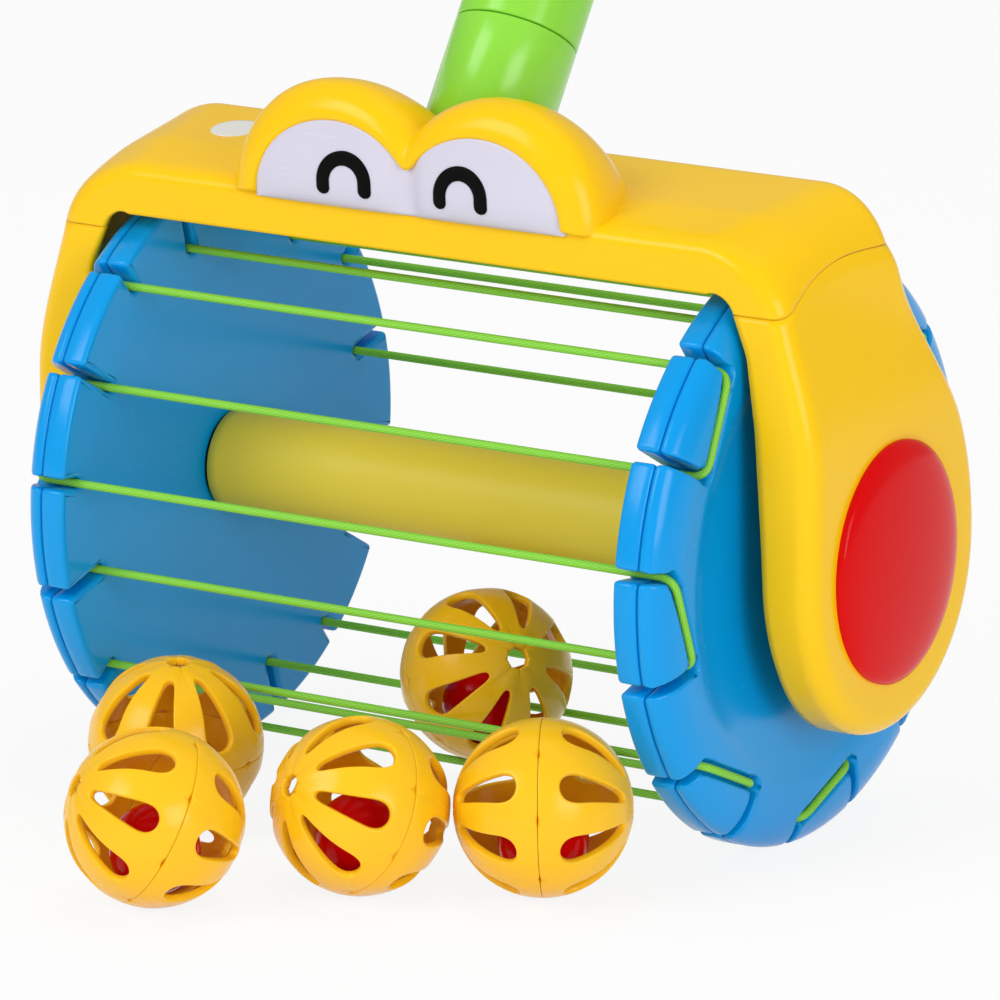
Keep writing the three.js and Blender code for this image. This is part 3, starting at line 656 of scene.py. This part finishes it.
def cord_tube(route, sides=14):
    """A round section carried along the route, square to it: the section's first direction is the
    way out from the axle. The last ring repeats the first, so that the UV map has an edge."""
    ahead = unit(np.roll(route, -1, axis=0) - np.roll(route, 1, axis=0))
    out = route * [0.0, 1.0, 1.0]
    out = unit(out - np.sum(out * ahead, axis=1, keepdims=True) * ahead)
    other = np.cross(ahead, out)
    angle = np.linspace(0.0, 2.0 * np.pi, sides + 1)
    cos, sin = np.cos(angle)[None, :, None], np.sin(angle)[None, :, None]
    tube = route[:, None, :] + CORD_R * (cos * out[:, None, :] + sin * other[:, None, :])
    tube = np.concatenate([tube, tube[:1]])
    along = run(np.concatenate([route, route[:1]])) / (2.0 * CORD_R)
    u, v = np.meshgrid(along, np.linspace(0.0, 1.0, sides + 1), indexing="ij")
    return tube, np.stack([u, v], -1)


CORD_TUBE, CORD_UV = cord_tube(cord_route())
piece("elastic", [(CORD_TUBE, False, False)], "drum", ELASTIC, ("elastic_cord",),
      uv=CORD_UV)


# Axle

END = WHEEL_IN - PARTING_GAP
TUBE_PROFILE = ring(TUBE_BORE, TUBE_R, -END, END, 0.6)
piece("axle_sleeve", [(revolved(spread(TUBE_PROFILE, 60), 96), True, True)], "drum",
      TUBE, ("axle_tube",))
ROD_PROFILE = ring(0.0, ROD_R, -BUSH_OUT, BUSH_OUT, 0.5)
piece("axle_steel", [(revolved(ROD_PROFILE, 32), False, True)], "drum", STEEL,
      ("axle_rod",))
for side, word in ((1.0, "right"), (-1.0, "left")):
    bush = ring(BUSH_BORE, BUSH_R, BUSH_IN, BUSH_OUT, 0.5)
    piece(f"{word}_bearing", [(revolved(bush, 48) * [side, 1, 1], True, True)], "yoke",
          NYLON, (f"{word}_bush",))


# Yoke

SEAM = rounded([(HOUSE_FRONT - 2.0, SEAM_FRONT_Z), (-40.0, SEAM_FRONT_Z), (-27.0, 81.0),
                (-11.0, 85.2), (HOUSE_BACK + 2.0, SEAM_BACK_Z)], 9.0)


def seam_z(y):
    """Height of the joint line between the top shell and the arms."""
    return np.interp(y, SEAM[:, 0], SEAM[:, 1])


def lean(y, z):
    """How far the housing's sides lean in at a place: nothing low down, rising smoothly to the
    shoulder, more and sooner at the front than at the back."""
    front = np.clip((HOUSE_BACK - y) / (HOUSE_BACK - HOUSE_FRONT), 0.0, 1.0)
    much = LEAN_BACK + front * (LEAN_FRONT - LEAN_BACK)
    foot = LEAN_BACK_FOOT + front * (LEAN_FRONT_FOOT - LEAN_BACK_FOOT)
    top = LEAN_BACK_TOP + front * (LEAN_FRONT_TOP - LEAN_BACK_TOP)
    return much * smoothstep((z - foot) / (top - foot))


def bezier(a, b, c, d, count):
    """A cubic curve through a and d, drawn towards b and c."""
    a, b, c, d = (np.array(point, dtype=float) for point in (a, b, c, d))
    t = np.linspace(0.0, 1.0, count)[:, None]
    return (1 - t) ** 3 * a + 3 * t * (1 - t) ** 2 * b + 3 * t ** 2 * (1 - t) * c + t ** 3 * d


def line(a, b, count):
    """Points spaced evenly from a to b."""
    t = np.linspace(0.0, 1.0, count)[:, None]
    return (1 - t) * np.array(a, dtype=float) + t * np.array(b, dtype=float)


def slope(y):
    """Depth below the top of the bar's upper face, which falls to the front in a slight curve."""
    ahead = HOUSE_BACK - y
    return SLOPE_DROP + SLOPE_RATE * ahead + SLOPE_CURVE * ahead ** 2


def bar_section():
    """The bar's section as (y, depth below the top): front face, eased crease, tilted upper face and
    back edge, in stretches that match those of the arm's section."""
    front = TOP_Z - FRONT_EDGE_Z
    pull, crease, middle, end, turn = (
        (y, slope(y)) for y in (-41.0, -37.0, SECTION_MID_Y, 7.0, 10.0))
    back = bezier(end, turn, (HOUSE_BACK, 0.8), (HOUSE_BACK, 4.0), 16)
    return np.concatenate([
        line((HOUSE_FRONT, front), (HOUSE_FRONT, 13.0), 12)[:-1],
        bezier((HOUSE_FRONT, 13.0), (HOUSE_FRONT, 9.5), pull, crease, 24)[:-1],
        line(crease, middle, 7)[:-1],
        line(middle, back[0], 12)[:-1],
        back[:-1],
        line(back[-1], (HOUSE_BACK, 16.0), 6),
    ])


def arm_section():
    """The housing's section at the joint line as (y, depth inside the arm's outer face): front
    face, quarter-ellipse crease, flat outer face, back crease and back face."""
    front = ARM_OUT - lean(HOUSE_FRONT, SEAM_FRONT_Z) - arm_inner_edge(SEAM_FRONT_Z)
    a = np.linspace(0.0, math.pi / 2, 24)
    crease = np.stack([HOUSE_FRONT + CREASE * (1 - np.cos(a)), CREASE * (1 - np.sin(a))], -1)
    back = np.stack([HOUSE_BACK - CREASE * (1 - np.cos(a)), CREASE * (1 - np.sin(a))], -1)[::-1]
    return np.concatenate([
        line((HOUSE_FRONT, front), (HOUSE_FRONT, CREASE), 12)[:-1],
        crease[:-1],
        line(crease[-1], (SECTION_MID_Y, 0.0), 7)[:-1],
        line((SECTION_MID_Y, 0.0), back[0], 12)[:-1],
        spread(back, 16)[:-1],
        line(back[-1], (HOUSE_BACK, 14.0), 6),
    ])


def top_shell():
    """The bar: its section carried along a path that runs across the top and round a corner down
    each side to the joint line. On the way round, the bar's section turns into the arm's, a point of
    depth d follows a corner whose radius is smaller by d, and the sides lean in."""
    bar = bar_section()
    side = arm_section()
    reach = CORNER_R - side[:, 1]
    end = seam_z(side[:, 0]) + SEAM_GAP / 2
    low = np.arcsin(np.clip((end - CORNER_Z) / reach, 0.0, 1.0))
    q = np.linspace(0.0, 1.0, 48)[:, None]
    turn = smoothstep(q)[:, :, None] ** 1.6
    y, depth = np.moveaxis((1 - turn) * bar + turn * side, -1, 0)
    angle = math.pi / 2 - q * (math.pi / 2 - low)
    drop = np.clip(CORNER_Z - end, 0.0, None) * q ** 2
    z = CORNER_Z + (CORNER_R - depth) * np.sin(angle) - drop
    x = CORNER_X + (CORNER_R - depth) * np.cos(angle) - lean(y, z)
    right = np.stack([x, y, z], -1)
    left = right[::-1] * [-1.0, 1.0, 1.0]
    across = np.linspace(0.0, 1.0, 41)[1:-1, None, None]
    middle = left[-1] + across * (right[0] - left[-1])
    return np.concatenate([left, middle, right])


def joint_lip(side):
    """A band behind the joint line, half a wall inside both pieces, that stops light there."""
    section = arm_section()[4:-2]
    ahead = unit(np.gradient(section, axis=0))
    y, depth = (section + 0.5 * WALL * np.stack([-ahead[:, 1], ahead[:, 0]], -1)).T
    z = seam_z(y) + np.linspace(-LIP_HALF, LIP_HALF, 5)[:, None]
    over = np.clip(z - CORNER_Z, 0.0, 0.9 * (CORNER_R - depth))
    x = CORNER_X + np.sqrt((CORNER_R - depth) ** 2 - over ** 2) - lean(y, z)
    return np.stack([x, np.broadcast_to(y, x.shape), z], -1) * [side, 1.0, 1.0]


def arm_inner_edge(z):
    """How far from the middle the arm's inner edge lies at a height."""
    heights = [-60.0, -25.0, 11.0, 42.0, 62.0, SEAM_FRONT_Z, 90.0]
    return np.interp(z, heights, [113.0, 113.0, 111.2, 109.0, 106.3, 102.1, 101.5])


piece("top_cover", [(top_shell(), False, False)], "yoke", YELLOW, ("top_shell",),
      thickness=WALL)


def arm_outline():
    """The arm's side outline as an open path of (y, z) points from the front of the joint line:
    down the straight front, round a lobe of quarter ellipses, and up the back edge that touches it."""
    top = np.array([HOUSE_BACK, SEAM_BACK_Z])
    squat = top * [1.0, LOBE_R / LOBE_RISE]
    touch = math.atan2(squat[1], squat[0]) - math.acos(LOBE_R / np.hypot(*squat))
    a = np.linspace(math.pi, 2.0 * math.pi + touch, 80)
    y = np.where(np.cos(a) < 0, -HOUSE_FRONT, LOBE_R) * np.cos(a)
    z = np.where(np.sin(a) < 0, LOBE_DROP, LOBE_RISE) * np.sin(a)
    path = np.concatenate([[(HOUSE_FRONT, SEAM_FRONT_Z)], np.stack([y, z], -1), [top]])
    return spread(path, 161)


def arm(side):
    """Arm shell: rows run from the inner edge out along the rim of the outline, round an eased
    crease, and over the flat outer face to a spine down the middle. Above the corner's spring the
    rows follow the same round corner as the bar."""
    path = arm_outline()
    ahead = np.gradient(path, axis=0)
    inward = unit(np.stack([-ahead[:, 1], ahead[:, 0]], -1))
    count = len(path)
    share = np.linspace(-1.0, 1.0, count)
    near_top = smoothstep((np.abs(share) - 0.8) / 0.2)
    level = np.stack([-np.sign(share), np.zeros(count)], -1)
    inward = unit(inward * (1 - near_top[:, None]) + level * near_top[:, None])
    spine_low = np.array([0.0, -8.0])
    spine_top = np.array([-15.0, 82.0])
    rise = smoothstep((np.abs(share) - 0.25) / 0.75)[:, None]
    spine = spine_low + rise * (spine_top - spine_low)
    rows = []
    inner = arm_inner_edge(path[:, 1]) + lean(path[:, 0], path[:, 1])
    for t in np.linspace(0.0, 1.0, 6):
        rows.append(at_x(path, inner + t * (ARM_OUT - CREASE - inner)))
    for a in np.linspace(0.0, math.pi / 2, 14)[1:]:
        flat = path + CREASE * (1 - math.cos(a)) * inward
        rows.append(at_x(flat, np.full(count, ARM_OUT - CREASE * (1 - math.sin(a)))))
    start = path + CREASE * inward
    for t in np.linspace(0.0, 1.0, 14)[1:]:
        rows.append(at_x((1 - t) * start + t * spine, np.full(count, ARM_OUT)))
    grid = np.stack(rows)
    seam = seam_z(grid[..., 1]) - SEAM_GAP / 2
    end_z = np.where(share < 0, grid[:, :1, 2], grid[:, -1:, 2])
    end_seam = np.where(share < 0, seam[:, :1], seam[:, -1:])
    grid[..., 2] += near_top * (end_seam - end_z)
    over = np.clip(grid[..., 2] - CORNER_Z, 0.0, None)
    wide = np.maximum(grid[..., 0] - CORNER_X, over + 0.1)
    grid[..., 0] = np.where(over > 0, CORNER_X + np.sqrt(wide ** 2 - over ** 2), grid[..., 0])
    grid[..., 0] -= lean(grid[..., 1], grid[..., 2])
    return grid * [side, 1.0, 1.0]


def dome(side):
    """Red cap: a flat back, a short upright rim eased into a shallow dome whose height falls as the
    square root of one minus the radius squared, softened at the edge."""
    r = np.linspace(1.0, 0.0, 28)
    height = CAP_HEIGHT * np.sqrt(np.clip(1.0 - 0.985 * r ** 2, 0.0, 1.0))
    back = ARM_OUT + 0.1
    top = [(CAP_R * radius, back + CAP_RIM + lift) for radius, lift in zip(r, height)]
    profile = [(0.0, back - 1.0), (CAP_R - 0.4, back - 1.0), (CAP_R, back - CAP_RIM), *top]
    cap = revolved(profile, 128) * CAP_OVAL
    cap[..., 0] -= lean(cap[..., 1], cap[..., 2])
    return cap * [side, 1.0, 1.0]


for side, word in ((1.0, "right"), (-1.0, "left")):
    piece(f"{word}_side_arm", [(arm(side), False, False)], "yoke", YELLOW,
          (f"{word}_arm",), thickness=WALL)
    piece(f"{word}_joint_lip", [(joint_lip(side), False, False)], "yoke", YELLOW,
          thickness=LIP_WALL)
    piece(f"{word}_dome", [(dome(side), False, True)], "yoke", RED,
          (f"{word}_hub_cap",))


# Face

def humps(centre, half, height, valley, count, full=2.0):
    """Outline of two half ellipses side by side as (x, height) points, their outer quarters drawn
    fuller by a higher power, and the dip between them filled smoothly to the valley height."""
    a = np.linspace(0.0, math.pi, 400)
    x = (centre + half) * np.cos(a)
    share = (np.abs(x) - centre) / half
    inside = np.clip(1.0 - np.abs(share) ** np.where(share > 0, full, 2.0), 0.0, 1.0)
    z = height * np.sqrt(inside)
    z = np.where(np.abs(x) < centre, np.logaddexp(z, valley), z)
    return spread(np.stack([x, z], -1), count)


def bar_top(y):
    """Height of the bar's top under a place y."""
    section = bar_section()
    return TOP_Z - np.interp(y, section[:, 0], section[:, 1])


def brow():
    """Two-hump brow: a roll round the panel. From the panel's outline the surface comes forward, runs
    out to the brow's own outline along a quarter ellipse (share sin a, set back by 1 - cos a), then
    falls to the bar's top like half domes. Both ends run down and turn into the bar."""
    outer = humps(BROW_X, BROW_HALF, BROW_H, BROW_VALLEY, 241, BROW_FULLNESS)
    inner = humps(EYE_X, EYE_HALF, EYE_H, EYE_VALLEY, 241) + [0.0, EYE_BASE - BROW_BASE]
    x, z = outer.T
    rows = []
    front = [(-0.08, BROW_FRONT + 3.6), (-0.06, BROW_FRONT + 1.4), (-0.03, BROW_FRONT + 0.4)]
    curve = np.linspace(0.05, math.pi / 2, 16)
    front += [(math.sin(a), BROW_FRONT + BROW_ROLL * (1 - math.cos(a))) for a in curve]
    tuck = BROW_TUCK * smoothstep((BROW_TUCK_H - z) / BROW_TUCK_H)
    for share, y in front:
        across, up = ((1 - share) * inner + share * outer).T
        rows.append(np.stack([across, y + tuck, BROW_BASE + up], -1))
    crest = BROW_FRONT + BROW_ROLL
    for t in np.linspace(0.0, 1.0, 26)[1:]:
        y = crest + t * (BROW_BACK - crest)
        fall = math.sqrt(1.0 - t ** 2)
        narrow = 1.0 - BROW_NARROW * t ** 2
        foot = bar_top(y) - BROW_SINK
        high = foot + (BROW_BASE + z - foot) * fall
        rows.append(np.stack([narrow * x, y + tuck * (1 - t), high], -1))
    return np.stack(rows)


piece("brow_cover", [(capped(brow()), True, False)], "yoke", YELLOW, ("brow",))


def panel_y(x, z):
    """How far forward the eye panel's front lies: two shallow bulges that meet in a crease, fullest
    a little above the foot."""
    across = np.clip(1.0 - ((np.abs(x) - EYE_X) / (EYE_HALF + 2.0)) ** 2, 0.0, 1.0)
    reach = np.where(z < EYE_MIDDLE_Z, EYE_MIDDLE_Z + 0.4, EYE_H - 6.0)
    up = np.clip(1.0 - ((z - EYE_MIDDLE_Z) / reach) ** 2, 0.0, 1.0)
    crease = 1.0 - 0.9 * np.exp(-(x / EYE_CREASE) ** 2)
    return EYE_FRONT - EYE_BULGE * np.sqrt(across * up) * crease


def eye_panel():
    """White panel: two bulging lobes filled from the foot line to the two-lobe outline, an eased
    edge, and a side wall back into the brow."""
    x, z = humps(EYE_X, EYE_HALF, EYE_H, EYE_VALLEY, 241).T
    shrink = 1.0 - EYE_EDGE / (EYE_X + EYE_HALF)
    sunk = np.full_like(x, EYE_FRONT + EYE_SINK)
    rows = [np.stack([shrink * x, sunk, np.full_like(x, EYE_BASE)], -1)]
    for t in np.linspace(0.0, 1.0, 16):
        high = t * np.maximum(z - EYE_EDGE, 0.0)
        rows.append(np.stack([shrink * x, panel_y(x, high), EYE_BASE + high], -1))
    flat_y = panel_y(x, np.maximum(z - EYE_EDGE, 0.0))
    for a in np.linspace(0.0, math.pi / 2, 6)[1:]:
        grow = EYE_EDGE * (1 - math.sin(a))
        wide = 1.0 - grow / (EYE_X + EYE_HALF)
        y = flat_y + EYE_EDGE * (1 - math.cos(a))
        rows.append(np.stack([wide * x, y, EYE_BASE + np.maximum(z - grow, 0.0)], -1))
    rows.append(np.stack([x, sunk, EYE_BASE + z], -1))
    return np.stack(rows)


piece("eye_cover", [(capped(eye_panel()), True, False)], "yoke", WHITE,
      ("eye_panel",))


def eye_mark(middle):
    """Black arch on the panel: a stroke along a half circle with two short legs, domed across, and
    narrowed to a point at its ends as the root of one minus the square of the way left."""
    a = np.linspace(0.0, math.pi, 40)
    arch = np.stack([middle + MARK_R * np.cos(a), MARK_Z + MARK_R * np.sin(a)], -1)
    foot = MARK_Z - MARK_LEG - MARK_HALF
    right_leg = line((middle + MARK_R, foot), arch[0], 20)[:-1]
    left_leg = line(arch[-1], (middle - MARK_R, foot), 20)[1:]
    path = np.concatenate([right_leg, arch, left_leg])
    reach = run(path)
    left_over = np.minimum(reach, reach[-1] - reach)
    way = 1.0 - np.minimum(left_over / MARK_HALF, 1.0)
    width = MARK_HALF * np.sqrt(np.clip(1.0 - way ** 2, 0.0, 1.0))
    ahead = unit(np.gradient(path, axis=0))
    aside = np.stack([-ahead[:, 1], ahead[:, 0]], -1)
    w = np.linspace(-1.0, 1.0, 9)[None, :, None]
    flat = path[:, None, :] + w * (width[:, None] * aside)[:, None, :]
    lift = MARK_PROUD + MARK_DOME * np.sqrt(np.clip(1.0 - w[..., 0] ** 2, 0.0, 1.0))
    x, z = flat[..., 0], flat[..., 1]
    front = np.stack([x, panel_y(x, z) - lift, EYE_BASE + z], -1)
    behind = np.stack([x, panel_y(x, z) + MARK_PROUD, EYE_BASE + z], -1)
    return np.concatenate([front, behind[:, ::-1]], axis=1)


for word, middle in (("right", MARK_X), ("left", -MARK_X)):
    piece(f"{word}_eye_mark", [(eye_mark(middle), False, True)], "yoke", BLACK)


def blank_plate():
    """Blank round plate on the bar's left end, where the photograph shows a sticker: rings laid on
    the tilted face, with a thin rounded edge."""
    share = np.array([0.0, 0.5, 0.9, 1.0, 1.0, 0.0])[:, None]
    proud = np.array([0.25, 0.25, 0.25, 0.15, -0.3, -0.3])[:, None]
    a = np.linspace(0.0, 2.0 * math.pi, 64, endpoint=False)
    x = PLATE_X + PLATE_R * share * np.cos(a)
    y = PLATE_Y + PLATE_R * share * np.sin(a)
    return np.stack([x, y, bar_top(y) + proud], -1)


piece("blank_round_plate", [(blank_plate(), False, True)], "yoke", PLATE)


# Pole

LOWER = [(POLE_BORE, POLE_START),
         *rounded([(POLE_R, POLE_START), (POLE_R, POLE_SEAM), (POLE_BORE, POLE_SEAM)], POLE_EASE)]
FOOT_TUBE = on_pole(LOWER, 96)
FOOT_TUBE[:2] += (POLE_CUT_Z - FOOT_TUBE[:2, :, 2:]) / POLE_AXIS[2] * POLE_AXIS
piece("pole_foot", [(FOOT_TUBE, True, True)], "yoke", GREEN, ("pole_lower",))
FOOT = POLE_SEAM + FIT
UPPER = rounded([(SPIGOT_BORE, SPIGOT_START), (SPIGOT_R, SPIGOT_START), (SPIGOT_R, FOOT),
                 (POLE_R, FOOT), (POLE_R, POLE_LENGTH), (POLE_BORE, POLE_LENGTH),
                 (POLE_BORE, FOOT + SPIGOT_FLANGE), (SPIGOT_BORE, FOOT + SPIGOT_FLANGE)], POLE_EASE)
piece("pole_shaft", [(on_pole(UPPER, 96), True, True)], "yoke", GREEN,
      ("pole_upper",))
LID = POLE_LENGTH + FIT
CUP_FOOT = POLE_LENGTH - GRIP_CUP
CUP_IN = POLE_R + FIT
CUP_OUT = CUP_IN + CUP_WALL
CUP = rounded([(0.0, LID), (CUP_IN, LID), (CUP_IN, CUP_FOOT), (CUP_OUT, CUP_FOOT),
               (CUP_OUT, LID + CUP_WALL), (0.0, LID + CUP_WALL)], CUP_EASE)
piece("grip_socket", [(on_pole(CUP, 96), False, True)], "yoke", YELLOW,
      ("grip",))


def grip_bar():
    """Cross bar: a capsule along X with two half-round ends and soft finger waves along it."""
    a = np.linspace(-math.pi / 2, 0.0, 14)
    end = np.stack([GRIP_R * np.cos(a), -GRIP_HALF + GRIP_R * np.sin(a)], -1)
    x = np.linspace(-GRIP_HALF, GRIP_HALF, 90)[1:-1]
    held = smoothstep((np.abs(x) - FINGER_START) / FINGER_FADE)
    wave = FINGER_WAVE * np.sin(math.pi * x / FINGER_PITCH) ** 2
    middle = np.stack([GRIP_R - wave * held, x], -1)
    profile = np.concatenate([end, middle, (end * [1.0, -1.0])[::-1]])
    return revolved(profile, 64) + POLE_FOOT + (LID + GRIP_R) * POLE_AXIS


piece("grip_bar", [(grip_bar(), False, True)], "yoke", YELLOW)


# Balls

def on_sphere(radius, lat, lon):
    """Points of a sphere at a latitude and longitude."""
    return radius * np.stack([np.cos(lat) * np.cos(lon), np.cos(lat) * np.sin(lon), np.sin(lat)], -1)


def cage_half():
    """Half of a cage ball about +Z, as one patch for each slot: rows run from the teardrop slot's
    edge to the patch's border, which is the equator, the end hole and two meridians."""
    middle = CAGE_SLOT_LAT
    end = math.radians(90.0) - math.asin(POLE_HOLE_R / BALL_R)
    t = np.linspace(0.0, math.pi, 90)
    arc = np.stack([np.cos(t), np.sin(t)], -1)
    wide = BALL_R * ([0.0, CAGE_WIDE_LOW] - CAGE_WIDE * arc)
    narrow = BALL_R * ([0.0, CAGE_NARROW_HIGH] + CAGE_NARROW * arc)
    dense = spread(np.concatenate([wide, narrow, wide[:1]]), 600)[:-1]
    across, up = (dense / CAGE_SPAN).T
    bearing = np.unwrap(np.arctan2(up, across))
    order = np.argsort(bearing)
    turn = np.linspace(0.0, 2.0 * math.pi, 33)[:-1]
    first = bearing[order[0]]
    wanted = first + np.mod(turn - first, 2.0 * math.pi)
    slot = np.stack([np.interp(wanted, bearing[order], column, period=2 * math.pi)
                     for column in dense[order].T], -1)
    lift = np.sqrt(BALL_R ** 2 - np.sum(slot ** 2, axis=1))
    high = slot[:, 1] * math.cos(middle) + lift * math.sin(middle)
    flat = lift * math.cos(middle) - slot[:, 1] * math.sin(middle)
    slot_lat = np.arcsin(high / BALL_R)
    slot_lon = np.arctan2(slot[:, 0], flat)
    reach = 1.0 / np.maximum(np.abs(np.cos(turn)), np.abs(np.sin(turn)))
    border_x = np.cos(turn) * reach
    border_y = np.sin(turn) * reach
    border_lon = border_x * math.pi / CAGE_SLOTS
    border_lat = middle + np.where(border_y > 0, (end - middle) * border_y, middle * border_y)
    s = np.array([0.0, 0.1, 0.3, 0.6, 0.992, 1.0])[:, None]
    lat = slot_lat + s * (border_lat - slot_lat)
    lon = slot_lon + s * (border_lon - slot_lon)
    patches = []
    for k in range(CAGE_SLOTS):
        around = lon + 2.0 * math.pi * k / CAGE_SLOTS
        patches.append(on_sphere(BALL_R, lat, around) + [0.0, 0.0, CAGE_GAP])
    return patches


def cage_frame(end, phase):
    """The three directions of a cage ball: its end, and two square to it, the first turned by the
    phase from the side that faces the camera."""
    end = unit(np.array(end))
    facing = unit(TOWARDS_CAMERA - np.dot(TOWARDS_CAMERA, end) * end)
    other = np.cross(end, facing)
    first = math.cos(phase) * facing + math.sin(phase) * other
    return np.stack([first, np.cross(end, first), end])


def sphere(radius, rows, columns):
    """A ball by latitude and longitude, pinched to a point at both ends."""
    lat, lon = np.meshgrid(np.linspace(-math.pi / 2, math.pi / 2, rows),
                           np.linspace(0.0, 2.0 * math.pi, columns, endpoint=False), indexing="ij")
    return on_sphere(radius, lat, lon)


# Each ball's end direction, and its turn about it in degrees
BALLS = {
    "ball_1": ([-0.60, -0.66, 0.44], 0.0),
    "ball_2": ([0.10, -0.08, 0.99], -10.0),
    "ball_3": ([-0.373, -0.845, 0.385], 0.0),
    "ball_4": ([0.87, 0.48, 0.02], -16.0),
    "ball_5": ([0.76, -0.5, 0.42], 0.0),
}
HALF = cage_half()
for name, (end, phase) in BALLS.items():
    low, high = (np.array(corner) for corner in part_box(f"{name}_rattle"))
    heart = ((low + high) / 2 - AXLE) / MM
    centre = heart + [0.0, 0.0, BALL_R - BALL_WALL - CORE_R - CORE_PLAY]
    axes = cage_frame(end, math.radians(phase))
    for letter, turn in (("a", np.array([1.0, 1.0, 1.0])), ("b", np.array([1.0, -1.0, -1.0]))):
        patches = [((patch * turn) @ axes + centre, False, True) for patch in HALF]
        piece(f"{name}_cage_{letter}", patches, name, CAGE_YELLOW,
              (f"{name}_shell_{letter}",), thickness=BALL_WALL, smooth_levels=1)
    piece(f"{name}_core", [(sphere(CORE_R, 25, 48) + heart, False, True)], name, RED,
          (f"{name}_rattle",))


# Floor, light and camera

def floor():
    """Pale floor: mostly its own white to the camera, with the soft shadow left on it."""
    mesh = bpy.data.meshes.new("floor")
    reach = 6.0
    corners = [(-reach, -reach, 0), (reach, -reach, 0), (reach, reach, 0), (-reach, reach, 0)]
    mesh.from_pydata(corners, [], [(0, 1, 2, 3)])
    made = bpy.data.objects.new("floor", mesh)
    bpy.context.scene.collection.objects.link(made)
    sheet = Sheet("floor_white")
    place = sheet.node("ShaderNodeTexCoord", output="Object")
    drift = sheet.node("ShaderNodeTexNoise", {}, {"Vector": place, "Scale": 3.0, "Detail": 2.0})
    tint = sheet.node("ShaderNodeMix", {"data_type": "RGBA"},
                      {0: drift, 6: linear(246, 246, 246), 7: linear(252, 252, 252)}, output=2)
    made.data.materials.append(sheet.surface(Base_Color=tint, Roughness=0.9, Specular_IOR_Level=0.1))
    path = [sheet.node("ShaderNodeLightPath", output=name)
            for name in ("Is Camera Ray", "Is Glossy Ray", "Is Transmission Ray")]
    glow = sheet.node("ShaderNodeEmission", {}, {"Color": PURE_WHITE, "Strength": 1.0})
    lit = Value(sheet, sheet.shader.outputs[0])
    seen = FLOOR_GLOW * (path[0] + path[1] + path[2])
    both = sheet.node("ShaderNodeMixShader", {}, {0: seen, 1: lit, 2: glow})
    sheet.fill(sheet.tree.nodes["Material Output"].inputs["Surface"], both)


def lamp(name, place, size, power, mirrored=True):
    """A square lamp that faces the toy, seen in glossy surfaces or not."""
    light = bpy.data.lights.new(name, "AREA")
    light.size = size
    light.energy = power
    made = bpy.data.objects.new(name, light)
    made.location = place
    made.visible_glossy = mirrored
    made.rotation_euler = (Vector(LAMP_AIM) - Vector(place)).to_track_quat("-Z", "Y").to_euler()
    bpy.context.scene.collection.objects.link(made)


def surroundings():
    """A plain soft light from all round, seen by the camera as white."""
    world = bpy.data.worlds.new("studio")
    bpy.context.scene.world = world
    sheet = Sheet("studio", world)
    sheet.surface(Color=PURE_WHITE, Strength=WORLD_STRENGTH)
    lit = Value(sheet, sheet.shader.outputs[0])
    seen = sheet.node("ShaderNodeLightPath", output="Is Camera Ray")
    white = sheet.node("ShaderNodeBackground", {}, {"Color": PURE_WHITE, "Strength": 1.0})
    both = sheet.node("ShaderNodeMixShader", {}, {0: seen, 1: lit, 2: white})
    sheet.fill(sheet.tree.nodes["World Output"].inputs["Surface"], both)


def photo_camera():
    """A pinhole camera at the place the photograph was taken from."""
    data = bpy.data.cameras.new("photo_camera")
    data.sensor_fit = "HORIZONTAL"
    data.sensor_width = SENSOR_MM
    data.lens = FOCAL_PX / FRAME_PX * SENSOR_MM
    data.clip_end = 50.0
    made = bpy.data.objects.new("photo_camera", data)
    right = Vector((math.cos(CAMERA_AZ), math.sin(CAMERA_AZ), 0.0))
    back = Vector(TOWARDS_CAMERA)
    up = back.cross(right)
    turn = Matrix((right, up, back)).transposed().to_4x4()
    turn.translation = Vector(CAMERA_MM * MM + AXLE)
    made.matrix_world = turn
    bpy.context.scene.collection.objects.link(made)
    bpy.context.scene.camera = made


floor()
surroundings()
lamp("key", (-0.9, -1.9, 1.5), 1.2, 20.0)
lamp("fill", (1.9, -1.0, 0.7), 1.0, 14.0)
lamp("low", (0.6, -2.0, 0.35), 1.0, 5.5, mirrored=False)
lamp("top", (0.1, 0.3, 1.9), 1.2, 9.5, mirrored=False)
photo_camera()
bpy.context.scene.view_settings.view_transform = "Standard"
